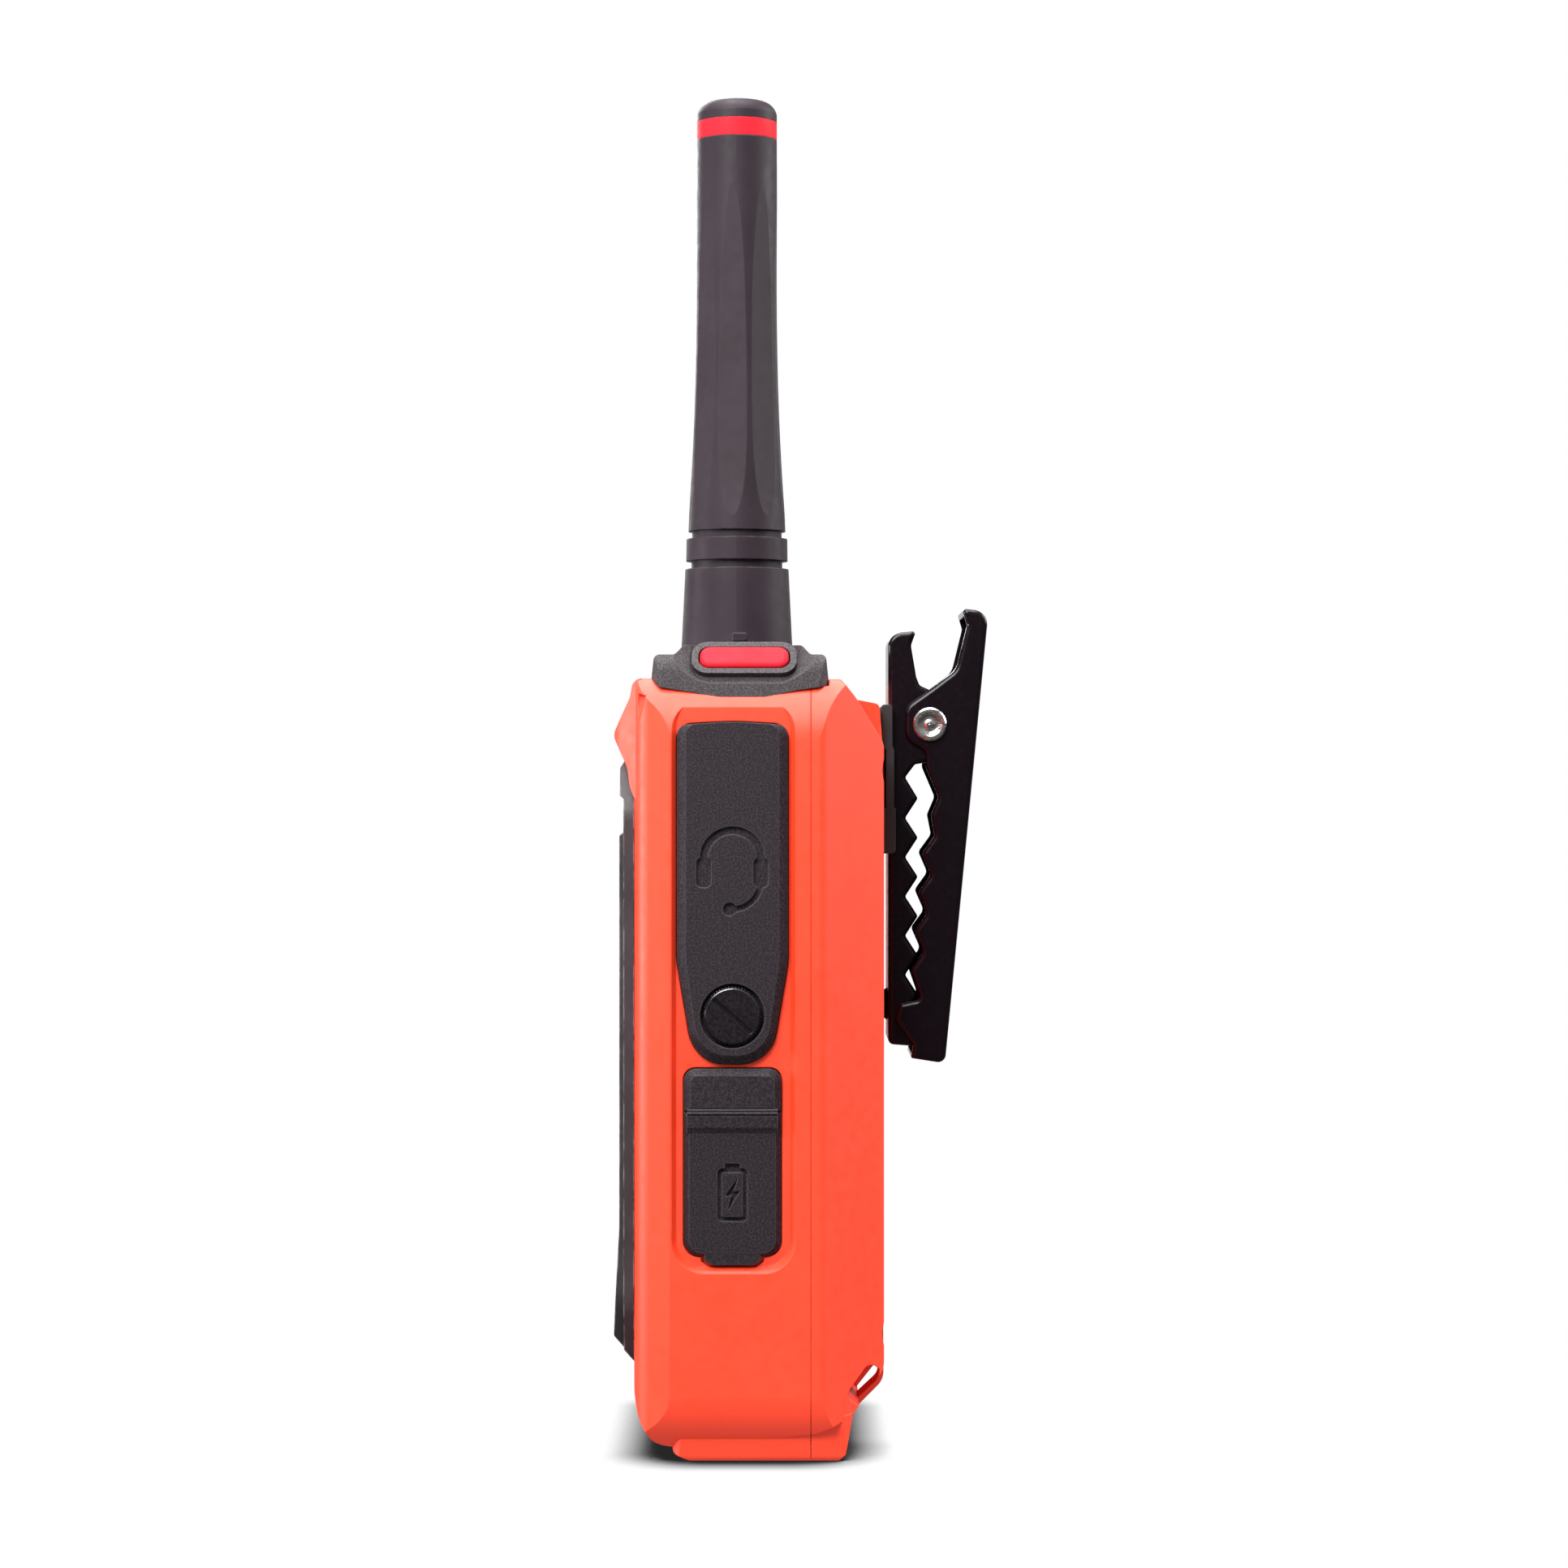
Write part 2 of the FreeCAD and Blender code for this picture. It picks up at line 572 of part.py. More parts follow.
def screw_insert():
    """Threaded brass insert, flanged behind the wall."""
    body = rod(INSERT_R, V(21.4, COVER_Y, SCREW_Z), V(1, 0, 0), INSERT_MOUTH_X - 21.4)
    rim = rod(INSERT_R + 1.0, V(24.3, COVER_Y, SCREW_Z), V(1, 0, 0), 0.28)
    return body.fuse(rim).cut(rod(SCREW_R + 0.07, V(20, COVER_Y, SCREW_Z), V(1, 0, 0), 10))


def headset_jacks():
    """Black block with the two headset sockets, opening towards +X."""
    body = jack_bay(16.0, COVER_SEAT_X - 0.4)
    large = rod(1.8, V(17.5, COVER_Y, JACK_LARGE_Z), V(1, 0, 0), 12)
    small = rod(1.3, V(17.5, COVER_Y, JACK_SMALL_Z), V(1, 0, 0), 12)
    return body.cut(Part.makeCompound([large, small]))


# ---- charging flap ------------------------------------------------------------------------
def flap_anchor():
    """The fixed upper end of the rubber flap, with the stub that holds it in the wall."""
    low_z = CREASE_Z + 0.12
    half = FLAP_HALF
    back = symmetric([(half, low_z), (half, FLAP_TOP_Z, 1.8)])
    face = symmetric([(half - 1.0, low_z + 0.5), (half - 1.0, FLAP_TOP_Z - 1.0, 1.2)])
    plate = prism(back, "YZ", FLAP_SEAT_X, FLAP_FACE_X - 0.7)
    bevel = frustum(back, face, "YZ", FLAP_FACE_X - 0.7, FLAP_FACE_X)
    stub = rod(1.35, V(23.8, COVER_Y, STUB_Z), V(1, 0, 0), FLAP_SEAT_X - 23.8)
    barb = rod(2.2, V(23.2, COVER_Y, STUB_Z), V(1, 0, 0), 1.2)
    return fused(plate, bevel, stub, barb)


def charge_flap():
    """The part of the flap that swings: ridge, lower face, finger tab and the plug for the socket."""
    top_z = CREASE_Z - 0.12
    half = FLAP_HALF
    inner_x = FLAP_SEAT_X + 0.15
    rim = symmetric([(half, top_z), (half, FLAP_BOTTOM_Z, 2.4)])
    face = symmetric([(half - 0.8, top_z - 1.0), (half - 0.8, FLAP_BOTTOM_Z + 0.5, 2.0)])
    plate = prism(rim, "YZ", inner_x, FLAP_LOW_X - 0.7)
    bevel = frustum(rim, face, "YZ", FLAP_LOW_X - 0.7, FLAP_LOW_X)
    ridge_side = [
        (FLAP_LOW_X - 1.0, top_z), (FLAP_FACE_X - 0.35, top_z), (FLAP_FACE_X, top_z - 0.5, 0.3),
        (FLAP_FACE_X, RIDGE_END_Z + 0.9, 0.3), (FLAP_LOW_X, RIDGE_END_Z), (FLAP_LOW_X - 1.0, RIDGE_END_Z),
    ]
    ridge = prism(ridge_side, "XZ", COVER_Y - half + 0.45, COVER_Y + half - 0.45)
    tab_profile = symmetric([(4.3, 32.0), (4.0, FLAP_TAB_Z + 0.6, 0.5), (2.9, FLAP_TAB_Z, 0.7)])
    tab = prism(tab_profile, "YZ", FLAP_LOW_X - 1.4, FLAP_LOW_X - 0.1)
    plug_y, plug_z = (COVER_Y - 1.9, COVER_Y + 1.9), (USB_Z - 4.6, USB_Z + 4.6)
    plug = block((26.9, inner_x + 0.1), plug_y, plug_z, 1.8, "YZ")
    return fused(plate, bevel, ridge, tab, plug).cut(battery_mark())


def battery_mark():
    """A battery outline with a bolt, sunk into the flap's face."""
    y, z, deep = COVER_Y, 40.0, FLAP_LOW_X - 0.6
    case = rectangle(y - 2.2, y + 2.2, z - 4.2, z + 3.6, 0.7)
    inside = rectangle(y - 1.55, y + 1.55, z - 3.55, z + 2.95, 0.3)
    ring = prism(case, "YZ", deep, 32).cut(prism(inside, "YZ", deep - 1, 33))
    terminal = block((deep, 32), (y - 1.1, y + 1.1), (z + 3.5, z + 4.3))
    bolt = [
        (y + 0.9, z + 2.4), (y - 1.1, z - 0.5), (y - 0.1, z - 0.4),
        (y - 0.8, z - 2.8), (y + 1.1, z + 0.3), (y + 0.1, z + 0.2),
    ]
    return fused(ring, terminal, prism(bolt, "YZ", deep, 32))


def usb_socket():
    shell = block((20.6, 26.6), (COVER_Y - 1.63, COVER_Y + 1.63), (USB_Z - 4.47, USB_Z + 4.47), 1.6, "YZ")
    mouth = block((21.4, 27.0), (COVER_Y - 1.3, COVER_Y + 1.3), (USB_Z - 4.15, USB_Z + 4.15), 1.28, "YZ")
    tongue = block((21.0, 25.6), (COVER_Y - 0.35, COVER_Y + 0.35), (USB_Z - 3.3, USB_Z + 3.3))
    return fused(shell.cut(mouth), tongue)


# ---- antenna ------------------------------------------------------------------------------
WHIP_PROFILE = ((140.0, 7.7), (148.0, 7.35), (160.0, 6.85), (173.0, 6.52), (190.0, 6.38), (BAND_Z[0], TIP_R))
FACET_SHARE = (1.02, 0.965, 0.945, 0.95, 0.985, 1.03)


def antenna_whip():
    """Moulded whip: round at both ends, eight soft flats between, two grooves above its base."""
    centre = V(ANTENNA_X, ANTENNA_Y, 0)
    base, z = ANTENNA_BASE_Z + 0.1, V(0, 0, 1)
    spots = [V(r, 0, h) for h, r in WHIP_PROFILE]
    flank = Part.BSplineCurve()
    flank.interpolate(spots)
    top, bottom = spots[-1], spots[0]
    corners = [
        V(0, 0, BAND_Z[0]), V(0, 0, base), V(8.85, 0, base), V(8.2, 0, 134.0), V(7.2, 0, 134.0),
        V(7.2, 0, 135.3), V(8.05, 0, 135.3), V(8.0, 0, 138.8), V(7.1, 0, 138.8), V(7.1, 0, 140.0), bottom,
    ]
    lines = [Part.LineSegment(a, b).toShape() for a, b in zip(corners, corners[1:])]
    lines += [flank.toShape(), Part.LineSegment(top, corners[0]).toShape()]
    body = Part.Face(Part.Wire(lines)).revolve(V(0, 0, 0), z, 360)
    sections = []
    for (h, r), share in zip(WHIP_PROFILE, FACET_SHARE):
        reach = r * share / math.cos(math.pi / 8)
        turn = [math.radians(22.5 + 45 * i - 5) for i in range(8)]
        ring = [V(reach * math.cos(a), reach * math.sin(a), h) for a in turn]
        sections.append(Part.makePolygon(ring + ring[:1]))
    flats = Part.makeLoft(sections, True, False)
    below = Part.makeCylinder(20, 140.0 - base + 1, V(0, 0, base - 1), z)
    body = body.common(fused(flats, below))
    mark = block((8.0, 8.95), (-0.6, 1.6), (122.4, 123.6), 0.2, "YZ")
    body = body.fuse(mark)
    body.translate(centre)
    axis = V(ANTENNA_X, ANTENNA_Y, base)
    recess = rod(5.0, axis - z, z, 9.0)
    groove = rod(7.6, axis - z, z, 2.1).cut(rod(6.3, axis - z, z, 3))
    return body.cut(Part.makeCompound([recess, groove]))


def antenna_band():
    centre = V(ANTENNA_X, ANTENNA_Y, BAND_Z[0])
    height = BAND_Z[1] - BAND_Z[0]
    return rod(TIP_R, centre, V(0, 0, 1), height).cut(rod(4.0, centre - V(0, 0, 1), V(0, 0, 1), height + 2))


def antenna_tip():
    """The domed end, flat in the middle, with a spigot that goes down through the band."""
    low, top, flat = BAND_Z[1], ANTENNA_TIP_Z, 1.5
    side, shoulder, crown = V(TIP_R, 0, low + 1.3), V(5.6, 0, top - 0.9), V(3.9, 0, top - 0.2)
    edges = [
        Part.LineSegment(V(0, 0, low), V(TIP_R, 0, low)).toShape(),
        Part.LineSegment(V(TIP_R, 0, low), side).toShape(),
        Part.Arc(side, shoulder, crown).toShape(),
        Part.Arc(crown, V(2.7, 0, top - 0.06), V(flat, 0, top)).toShape(),
        Part.LineSegment(V(flat, 0, top), V(0, 0, top)).toShape(),
        Part.LineSegment(V(0, 0, top), V(0, 0, low)).toShape(),
    ]
    cap = Part.Face(Part.Wire(edges)).revolve(V(0, 0, 0), V(0, 0, 1), 360)
    cap.translate(V(ANTENNA_X, ANTENNA_Y, 0))
    spigot = rod(3.95, V(ANTENNA_X, ANTENNA_Y, BAND_Z[0]), V(0, 0, 1), low - BAND_Z[0] + 0.2)
    return cap.fuse(spigot)


def antenna_connector():
    """Brass sleeve in the antenna's base that runs on the socket's thread, and its contact pin."""
    z = V(0, 0, 1)
    base = V(ANTENNA_X, ANTENNA_Y, ANTENNA_BASE_Z + 0.1)
    sleeve = rod(4.95, base, z, 7.9).cut(rod(THREAD_R + 0.08, base - z, z, 7.5))
    pin = rod(0.45, base + z * 1.5, z, 5.6)
    return sleeve.fuse(pin)


def antenna_o_ring():
    centre = V(ANTENNA_X, ANTENNA_Y, ANTENNA_BASE_Z + 0.62)
    return Part.makeTorus(6.95, 0.55, centre, V(0, 0, 1))


def hexagon(radius):
    """A hexagon round the antenna's axis, seen from above."""
    turns = [math.radians(60 * i) for i in range(6)]
    return [(ANTENNA_X + radius * math.cos(a), ANTENNA_Y + radius * math.sin(a)) for a in turns]


def antenna_socket():
    """Threaded post fixed through the roof, with its hexagon flange and contact bore."""
    z = V(0, 0, 1)
    low = V(ANTENNA_X, ANTENNA_Y, 107.0)
    post = rod(THREAD_R, low, z, THREAD_TOP_Z - low.z)
    flange = prism(hexagon(4.6), "XY", 108.2, 110.2)
    bore = rod(0.53, V(ANTENNA_X, ANTENNA_Y, ANTENNA_BASE_Z + 0.4), z, 10)
    return fused(post, flange).cut(bore)


def antenna_nut():
    z = V(0, 0, 1)
    bore = rod(THREAD_R + 0.02, V(ANTENNA_X, ANTENNA_Y, 112), z, 6)
    return prism(hexagon(4.9), "XY", 113.5, 115.4).cut(bore)


# ---- front panel --------------------------------------------------------------------------
def front_fascia():
    side = [
        (FRONT_Y, 13.6), (-20.3, 15.6, 0.4), (-20.3, 97.8), (-20.9, 98.3, 0.3),
        (-20.9, 102.4, 0.8), (-20.0, 103.9, 0.6), (FRONT_Y, 103.9),
    ]
    plate = prism(side, "YZ", -30, 30).common(prism(fascia_front(), "XZ", -25, 0))
    half, low, high = LENS_HALF + FIT_GAP, LENS_Z[0] - FIT_GAP, LENS_Z[1] + FIT_GAP
    lens = block((-half, half), (-22, -19.5), (low, high), 1.5, "XZ")
    window = block((-half + 1.65, half - 1.65), (-22, -17), (low + 1.65, high - 1.65), 1.0, "XZ")
    speaker = rod(16.0, V(0, -22, SPEAKER_Z), V(0, 1, 0), 5)
    mic = rod(0.6, V(*MIC_SPOT), V(0, 1, 0), 5)
    light = rod(1.1, V(*LIGHT_SPOT), V(0, 1, 0), 5)
    return plate.cut(Part.makeCompound([lens, window, speaker, mic, light] + key_openings(-24, -17)))


def fascia_front(grow=0.0):
    """The front panel's outline, seen from the front."""
    g = grow
    low, high = 13.0 - g, 104.5 + g
    return [
        (-20.0 - g, low, 3.0), (20.0 + g, low, 3.0), (23.2 + g, 22.0, 6.0), (23.2 + g, 96.0, 6.0),
        (19.0 + g, high, 3.0), (-19.0 - g, high, 3.0), (-23.2 - g, 96.0, 6.0), (-23.2 - g, 22.0, 6.0),
    ]


def grille_panel():
    """Raised panel round the display, keys and speaker, with its chin below and sound slots."""
    side = [
        (-20.3, 92.9), (-21.0, 92.3, 0.4), (-21.0, 34.0, 30.0), (-21.9, 17.4, 0.6),
        (-20.3, 15.4), (-20.3, 60.0),
    ]
    side_x, lens_x, lens_low = 21.0, LENS_HALF + 0.6, LENS_Z[0] - 1.0
    front = [
        (-17.5, 14.0, 3.0), (17.5, 14.0, 3.0), (side_x, 23.0, 6.0), (side_x, 93.5, 1.2),
        (lens_x, 93.5, 0.8), (lens_x, lens_low, 1.5), (-lens_x, lens_low, 1.5), (-lens_x, 93.5, 0.8),
        (-side_x, 93.5, 1.2), (-side_x, 23.0, 6.0),
    ]
    plate = prism(side, "YZ", -30, 30).common(prism(front, "XZ", -25, 0))
    slots = []
    for i in range(-4, 5):
        rise = 3.2 * i
        half = math.sqrt(14.6 ** 2 - rise ** 2)
        middle = SPEAKER_Z + rise
        slots.append(block((-half, half), (-24, -19), (middle - 0.7, middle + 0.7), 0.69, "XZ"))
    mic = rod(0.6, V(*MIC_SPOT), V(0, 1, 0), 5)
    return plate.cut(Part.makeCompound(slots + [mic] + key_openings(-24, -17)))


def display_lens():
    lens = block((-LENS_HALF, LENS_HALF), (-20.45, -19.5), LENS_Z, 1.4, "XZ")
    return fillet(lens, 0.25, lambda e: flat_at(e, "y", -20.45))


def lcd_module():
    half = LENS_HALF - 1.0
    return block((-half, half), (-16.6, -14.2), (LENS_Z[0] + 1.0, LENS_Z[1] - 1.0), 0.6, "XZ")


def status_light():
    """Clear pipe that carries the status light to the brow."""
    x, _, z = LIGHT_SPOT
    pipe = rod(1.0, V(x, -21.1, z), V(0, 1, 0), 5.2)
    return fillet(pipe, 0.3, lambda e: flat_at(e, "y", -21.1))


def front_key(x):
    wide, tall = KEY_HALF
    cap = block((x - wide, x + wide), (KEY_FACE_Y, -16.4), (KEY_Z - tall, KEY_Z + tall), 1.5, "XZ")
    cap = fillet(cap, 0.45, lambda e: flat_at(e, "y", KEY_FACE_Y))
    wide, tall = wide + 0.5, tall + 0.8
    flange = block((x - wide, x + wide), (-16.4, -15.8), (KEY_Z - tall, KEY_Z + tall), 1.5, "XZ")
    nub = rod(1.0, V(x, -15.8, KEY_Z), V(0, 1, 0), 0.25)
    return fused(cap, flange, nub)


def key_domes():
    domes = [rod(2.2, V(x, -15.0, KEY_Z), V(0, 1, 0), 0.4) for x in KEY_XS]
    return Part.makeCompound(domes)


def key_board():
    return block((-21.5, 21.5), (-14.6, -13.6), (54.6, 66.2), 1.0, "XZ")


# ---- left side controls -------------------------------------------------------------------
def side_button(span, face_x, radius, travel):
    y0, y1 = SIDE_KEY_Y
    z0, z1 = span
    cap = block((face_x, -27.6), (y0, y1), (z0, z1), 2.4, "YZ")
    cap = fillet(cap, radius, lambda e: flat_at(e, "x", face_x))
    flange = block((-27.6, -26.8), (y0 - 0.7, y1 + 0.7), (z0 - 0.7, z1 + 0.7), 2.4, "YZ")
    middle_y, middle_z = (y0 + y1) / 2, (z0 + z1) / 2
    nub = rod(1.3, V(-26.8, middle_y, middle_z), V(1, 0, 0), 1.7 - travel)
    return fused(cap, flange, nub)


def ptt_button():
    """Talk button, with raised grip ribs."""
    button = side_button(PTT_Z, -31.0, 0.9, 1.0)
    y0, y1 = SIDE_KEY_Y
    middle = sum(PTT_Z) / 2
    ribs = []
    for i in range(-2, 3):
        z = middle + 3.2 * i
        ribs.append(block((-31.4, -30.5), (y0 + 2.6, y1 - 2.6), (z - 0.6, z + 0.6), 0.55, "YZ"))
    return fused(button, *ribs)


def side_key(span):
    return side_button(span, -30.4, 0.6, 0.6)


def side_board():
    """Small board behind the left wall that carries the three side switches."""
    y0, y1 = SIDE_KEY_Y
    board = block((-24.0, -23.2), (y0, y1), (SIDE_KEY_Z[1][0], PTT_Z[1]), 0.8, "YZ")
    middle_y = (y0 + y1) / 2
    switches = []
    for z0, z1 in (PTT_Z,) + SIDE_KEY_Z:
        middle_z = (z0 + z1) / 2
        across = (middle_y - 2.2, middle_y + 2.2)
        switches.append(block((-25.0, -24.0), across, (middle_z - 2.2, middle_z + 2.2)))
    return fused(board, *switches)


# ---- parts inside -------------------------------------------------------------------------
def speaker():
    y = V(0, 1, 0)
    profile = [
        (0, 7.4), (6.5, 7.4), (6.5, 4.2), (13.0, 3.0), (17.6, 1.8),
        (17.6, 0.0), (15.6, 0.0), (14.6, 0.9), (7.0, 2.2), (0, 1.4),
    ]
    return lathe(profile, V(0, -16.5, SPEAKER_Z), y)


def speaker_mesh():
    """Water-shedding cloth disc between the sound slots and the speaker."""
    return rod(15.9, V(0, -19.3, SPEAKER_Z), V(0, 1, 0), 0.3)


def microphone():
    x, _, z = MIC_SPOT
    return rod(2.0, V(x, -16.6, z), V(0, 1, 0), 1.6)


def main_board():
    board = block((-22.9, 22.9), (-1.0, 0.2), (9.0, 106.0), 2.0, "XZ")
    holes = [rod(3.3, V(x, -5, z), V(0, 1, 0), 10) for x, z in SCREW_SPOTS]
    side_bay = block((15.5, 30), (-5, 5), (JACK_SMALL_Z - 5.6, JACK_LARGE_Z + 5.6))
    charge_bay = block((20.2, 30), (-5, 5), (USB_Z - 5.0, USB_Z + 5.0))
    screw_bay = block((21.0, 30), (-5, 5), (SCREW_Z - 3.4, SCREW_Z + 3.4))
    return board.cut(Part.makeCompound(holes + [side_bay, charge_bay, screw_bay]))


def shield_cans():
    upper = block((-12.0, 10.0), (-3.6, -1.0), (74.0, 96.0), 0.8, "XZ")
    lower = block((-22.0, -4.0), (-3.2, -1.0), (22.0, 50.0), 0.8, "XZ")
    return Part.makeCompound([upper, lower])


def board_chips():
    spots = ((6.0, 30.0, 4.0), (9.0, 58.0, 3.0), (-18.0, 62.0, 3.5), (16.5, 46.0, 2.0))
    chips = [block((x - h, x + h), (-2.0, -1.0), (z - h, z + h), 0.2, "XZ") for x, z, h in spots]
    return Part.makeCompound(chips)


def battery_pack():
    cells = block((-23.0, 23.0), (3.0, 14.8), (27.0, 88.0), 2.0, "XY")
    return fillet(cells, 0.8, lambda e: flat_at(e, "z", 27.0) or flat_at(e, "z", 88.0))


def battery_connector():
    return block((-4.0, 4.0), (0.2, 5.4), (17.0, 21.0), 0.3, "XZ")


def battery_pad():
    """Foam between the battery and the rear wall."""
    return block((-20.0, 20.0), (14.85, 16.4), (32.0, 83.0), 2.0, "XZ")


def screw(x, z, head_y, length, head_r, shank_r):
    """Pan-head screw driven from the back, with a cross recess."""
    head = rod(head_r, V(x, head_y, z), V(0, 1, 0), 1.3)
    head = fillet(head, 0.3, lambda e: flat_at(e, "y", head_y + 1.3))
    shank = rod(shank_r, V(x, head_y - length, z), V(0, 1, 0), length)
    arm, thin = head_r * 0.55, 0.28
    cross = [
        block((x - arm, x + arm), (head_y + 0.5, head_y + 2), (z - thin, z + thin)),
        block((x - thin, x + thin), (head_y + 0.5, head_y + 2), (z - arm, z + arm)),
    ]
    return fused(head, shank).cut(Part.makeCompound(cross))


def shell_screws():
    return Part.makeCompound([screw(x, z, BACK_Y - 2.2, 17.0, 2.3, 0.98) for x, z in SCREW_SPOTS])


# ---- clip ---------------------------------------------------------------------------------
BRACKET_HALF = 9.4


def clip_bracket():
    """Moulded bracket on the back boss, with side rails that keep the clip from turning."""
    side = [
        (BACK_Y, 112.1, 0.3), (20.1, 112.1, 0.5), (20.1, 105.8, 0.3), (20.35, 105.2, 0.3), (20.35, 96.4),
        (20.6, 96.2, 0.3), (20.6, 89.4, 0.6), (BACK_Y, 89.4, 0.3), (BACK_Y, 96.2), (19.1, 96.2),
        (19.1, 105.2), (BACK_Y, 105.8),
    ]
    body = prism(side, "YZ", -BRACKET_HALF, BRACKET_HALF)
    channel = block((-FIXED_HALF - 0.1, FIXED_HALF + 0.1), (CLIP_BACK_Y, 30), (80, 120))
    filler = block((-6, 6), (BACK_Y, CLIP_BACK_Y), (90.0, 106.0), 1.0, "XZ")
    holes = [rod(1.35, V(0, 10, z), V(0, 1, 0), 20) for z in CLIP_SCREW_ZS]
    return fused(body.cut(channel), filler).cut(Part.makeCompound(holes))


def clip_screws():
    head_y = CLIP_BACK_Y + SHEET
    return Part.makeCompound([screw(0, z, head_y, 5.9, 2.2, 1.15) for z in CLIP_SCREW_ZS])


def fixed_profile():
    """Side wall of the fixed jaw, from its handle down to its toe: y, z, corner radius."""
    back = CLIP_BACK_Y
    teeth = []
    for i in range(6):
        tip_z = 97.8 - TOOTH_PITCH * i
        teeth += [(24.05, tip_z, 0.5), (22.1, tip_z - TOOTH_PITCH / 2, 0.5)]
    handle = [
        (back, 60.2, 0.9), (back, 123.0, 2.0), (23.8, 123.4, 0.4), (23.0, 121.2, 1.5),
        (23.8, 116.4, 1.0), (24.3, 115.1, 0.8), (27.6, 113.6, 1.2), (29.0, 109.3, 2.5),
        (27.4, 103.6, 1.2), (23.6, 103.0, 0.5), (22.1, 101.0, 0.5),
    ]
    toe = [(22.7, 65.6, 0.4), (22.7, 62.6, 0.6), (23.6, 59.9, 0.3)]
    return handle + teeth[:-1] + toe


def pan(profile, half, inside):
    """A pressed-steel jaw: the profile's whole width, scooped out to leave a skin and two side walls."""
    body = prism(profile, "YZ", -half, half)
    return body.cut(prism(inside, "YZ", -half + SHEET, half - SHEET))


def clip_fixed_jaw():
    back = CLIP_BACK_Y
    inside = [(back + SHEET, 61.1), (back + SHEET, 122.3), (40, 122.3), (40, 61.1)]
    jaw = pan(fixed_profile(), FIXED_HALF, inside)
    jaw = fillet(jaw, 0.7, lambda e: flat_at(e, "y", back) and e.Length > 40)
    pivot = rod(1.55, V(-20, PIVOT_Y, PIVOT_Z), V(1, 0, 0), 40)
    holes = [rod(1.35, V(0, 10, z), V(0, 1, 0), 20) for z in CLIP_SCREW_ZS]
    bumper = rod(1.52, V(0, 10, 66.0), V(0, 1, 0), 20)
    return jaw.cut(Part.makeCompound([pivot, bumper] + holes))


def lean(u, v):
    """A point of the moving jaw: u across from its outer skin, v up from the pivot's level."""
    a = math.radians(JAW_LEAN_DEG)
    return (33.15 - u * math.cos(a) + v * math.sin(a), PIVOT_Z + u * math.sin(a) + v * math.cos(a))


def moving_profile():
    """Side wall of the moving jaw, in its own leaning frame."""
    corners = [
        (0, 17.3, 2.2), (4.1, 17.4, 0.4), (3.1, 14.9, 1.2), (4.1, 8.0, 3.0), (7.6, 4.8, 2.0),
        (11.3, 1.6, 2.4), (10.9, -3.4, 2.4), (7.5, -4.8, 1.5), (7.3, -7.2, 1.0),
    ]
    for i in range(5):
        valley = -11.6 - 5.95 * i
        corners += [(4.9, valley, 1.1), (6.6 if i else 5.8, valley - 2.9, 0.9)]
    corners += [
        (4.6, -42.6, 0.8), (7.8, -43.6, 0.5), (8.3, -46.2, 1.4),
        (5.1, -49.6, 0.8), (5.3, -51.7, 0.3), (0, -52.0, 1.2),
    ]
    return [(*lean(u, v), radius) for u, v, radius in corners]


def clip_moving_jaw():
    inside = [lean(SHEET, 16.4), lean(16, 16.0), lean(16, -51.0), lean(SHEET, -51.1)]
    jaw = pan(moving_profile(), MOVING_HALF, inside)

    def back_edge(edge):
        box = edge.BoundBox
        return box.ZLength > 55 and abs(box.XMin) > MOVING_HALF - 0.05 and box.YLength > 5
    jaw = fillet(jaw, 0.7, back_edge)
    return jaw.cut(rod(1.55, V(-20, PIVOT_Y, PIVOT_Z), V(1, 0, 0), 40))


def clip_pivot():
    """Rivet through both jaws, with a dished head on each side."""
    x = V(1, 0, 0)
    head_x = MOVING_HALF + 0.1
    shaft = rod(1.5, V(-head_x - 0.2, PIVOT_Y, PIVOT_Z), x, 2 * head_x + 0.4)
    profile = [
        (0, 0), (2.45, 0), (2.6, 0.2), (2.55, 0.5), (2.3, 0.75), (1.9, 0.75),
        (1.6, 0.3), (0.9, 0.15), (0.5, 0.35), (0, 0.4),
    ]
    right = lathe(profile, V(head_x, PIVOT_Y, PIVOT_Z), x)
    left = lathe(profile, V(-head_x, PIVOT_Y, PIVOT_Z), V(-1, 0, 0))
    return fused(shaft, right, left)


def clip_spring():
    """Torsion spring on the rivet, with a leg up each handle."""
    x = V(1, 0, 0)
    wire, mean, pitch, turns = 0.42, 2.25, 1.1, 4.5
    half = pitch * turns / 2
    helix = Part.makeHelix(pitch, pitch * turns, mean)
    section = Part.Wire([Part.makeCircle(wire, V(mean, 0, 0), V(0, 1, 0))])
    coil = Part.Wire(helix.Edges).makePipeShell([section], True, True)
    # the coil's axis is turned from Z to X, so that it starts on the +Y side and ends on the -Y side
    coil.rotate(V(0, 0, 0), V(0, 1, 0), 90)
    coil.rotate(V(0, 0, 0), x, 90)
    coil.translate(V(-half, PIVOT_Y, PIVOT_Z))
    moving_leg = rod(wire, V(-half, PIVOT_Y + mean, PIVOT_Z), V(0, 0.42, 0.9).normalize(), 10.8)
    fixed_leg = rod(wire, V(half, PIVOT_Y - mean, PIVOT_Z), V(0, -0.26, 1).normalize(), 10.3)
    return fused(coil, moving_leg, fixed_leg)


def clip_bumper():
    """Rubber button through the clip's back, resting on the body."""
    centre = V(0, CLIP_BACK_Y, 66.0)
    profile = [
        (0, -0.95), (1.2, -0.9), (2.1, -0.6), (2.5, 0.0), (1.5, 0.0),
        (1.5, SHEET), (2.1, SHEET), (2.0, 1.5), (0, 1.7),
    ]
    return lathe(profile, centre, V(0, 1, 0))


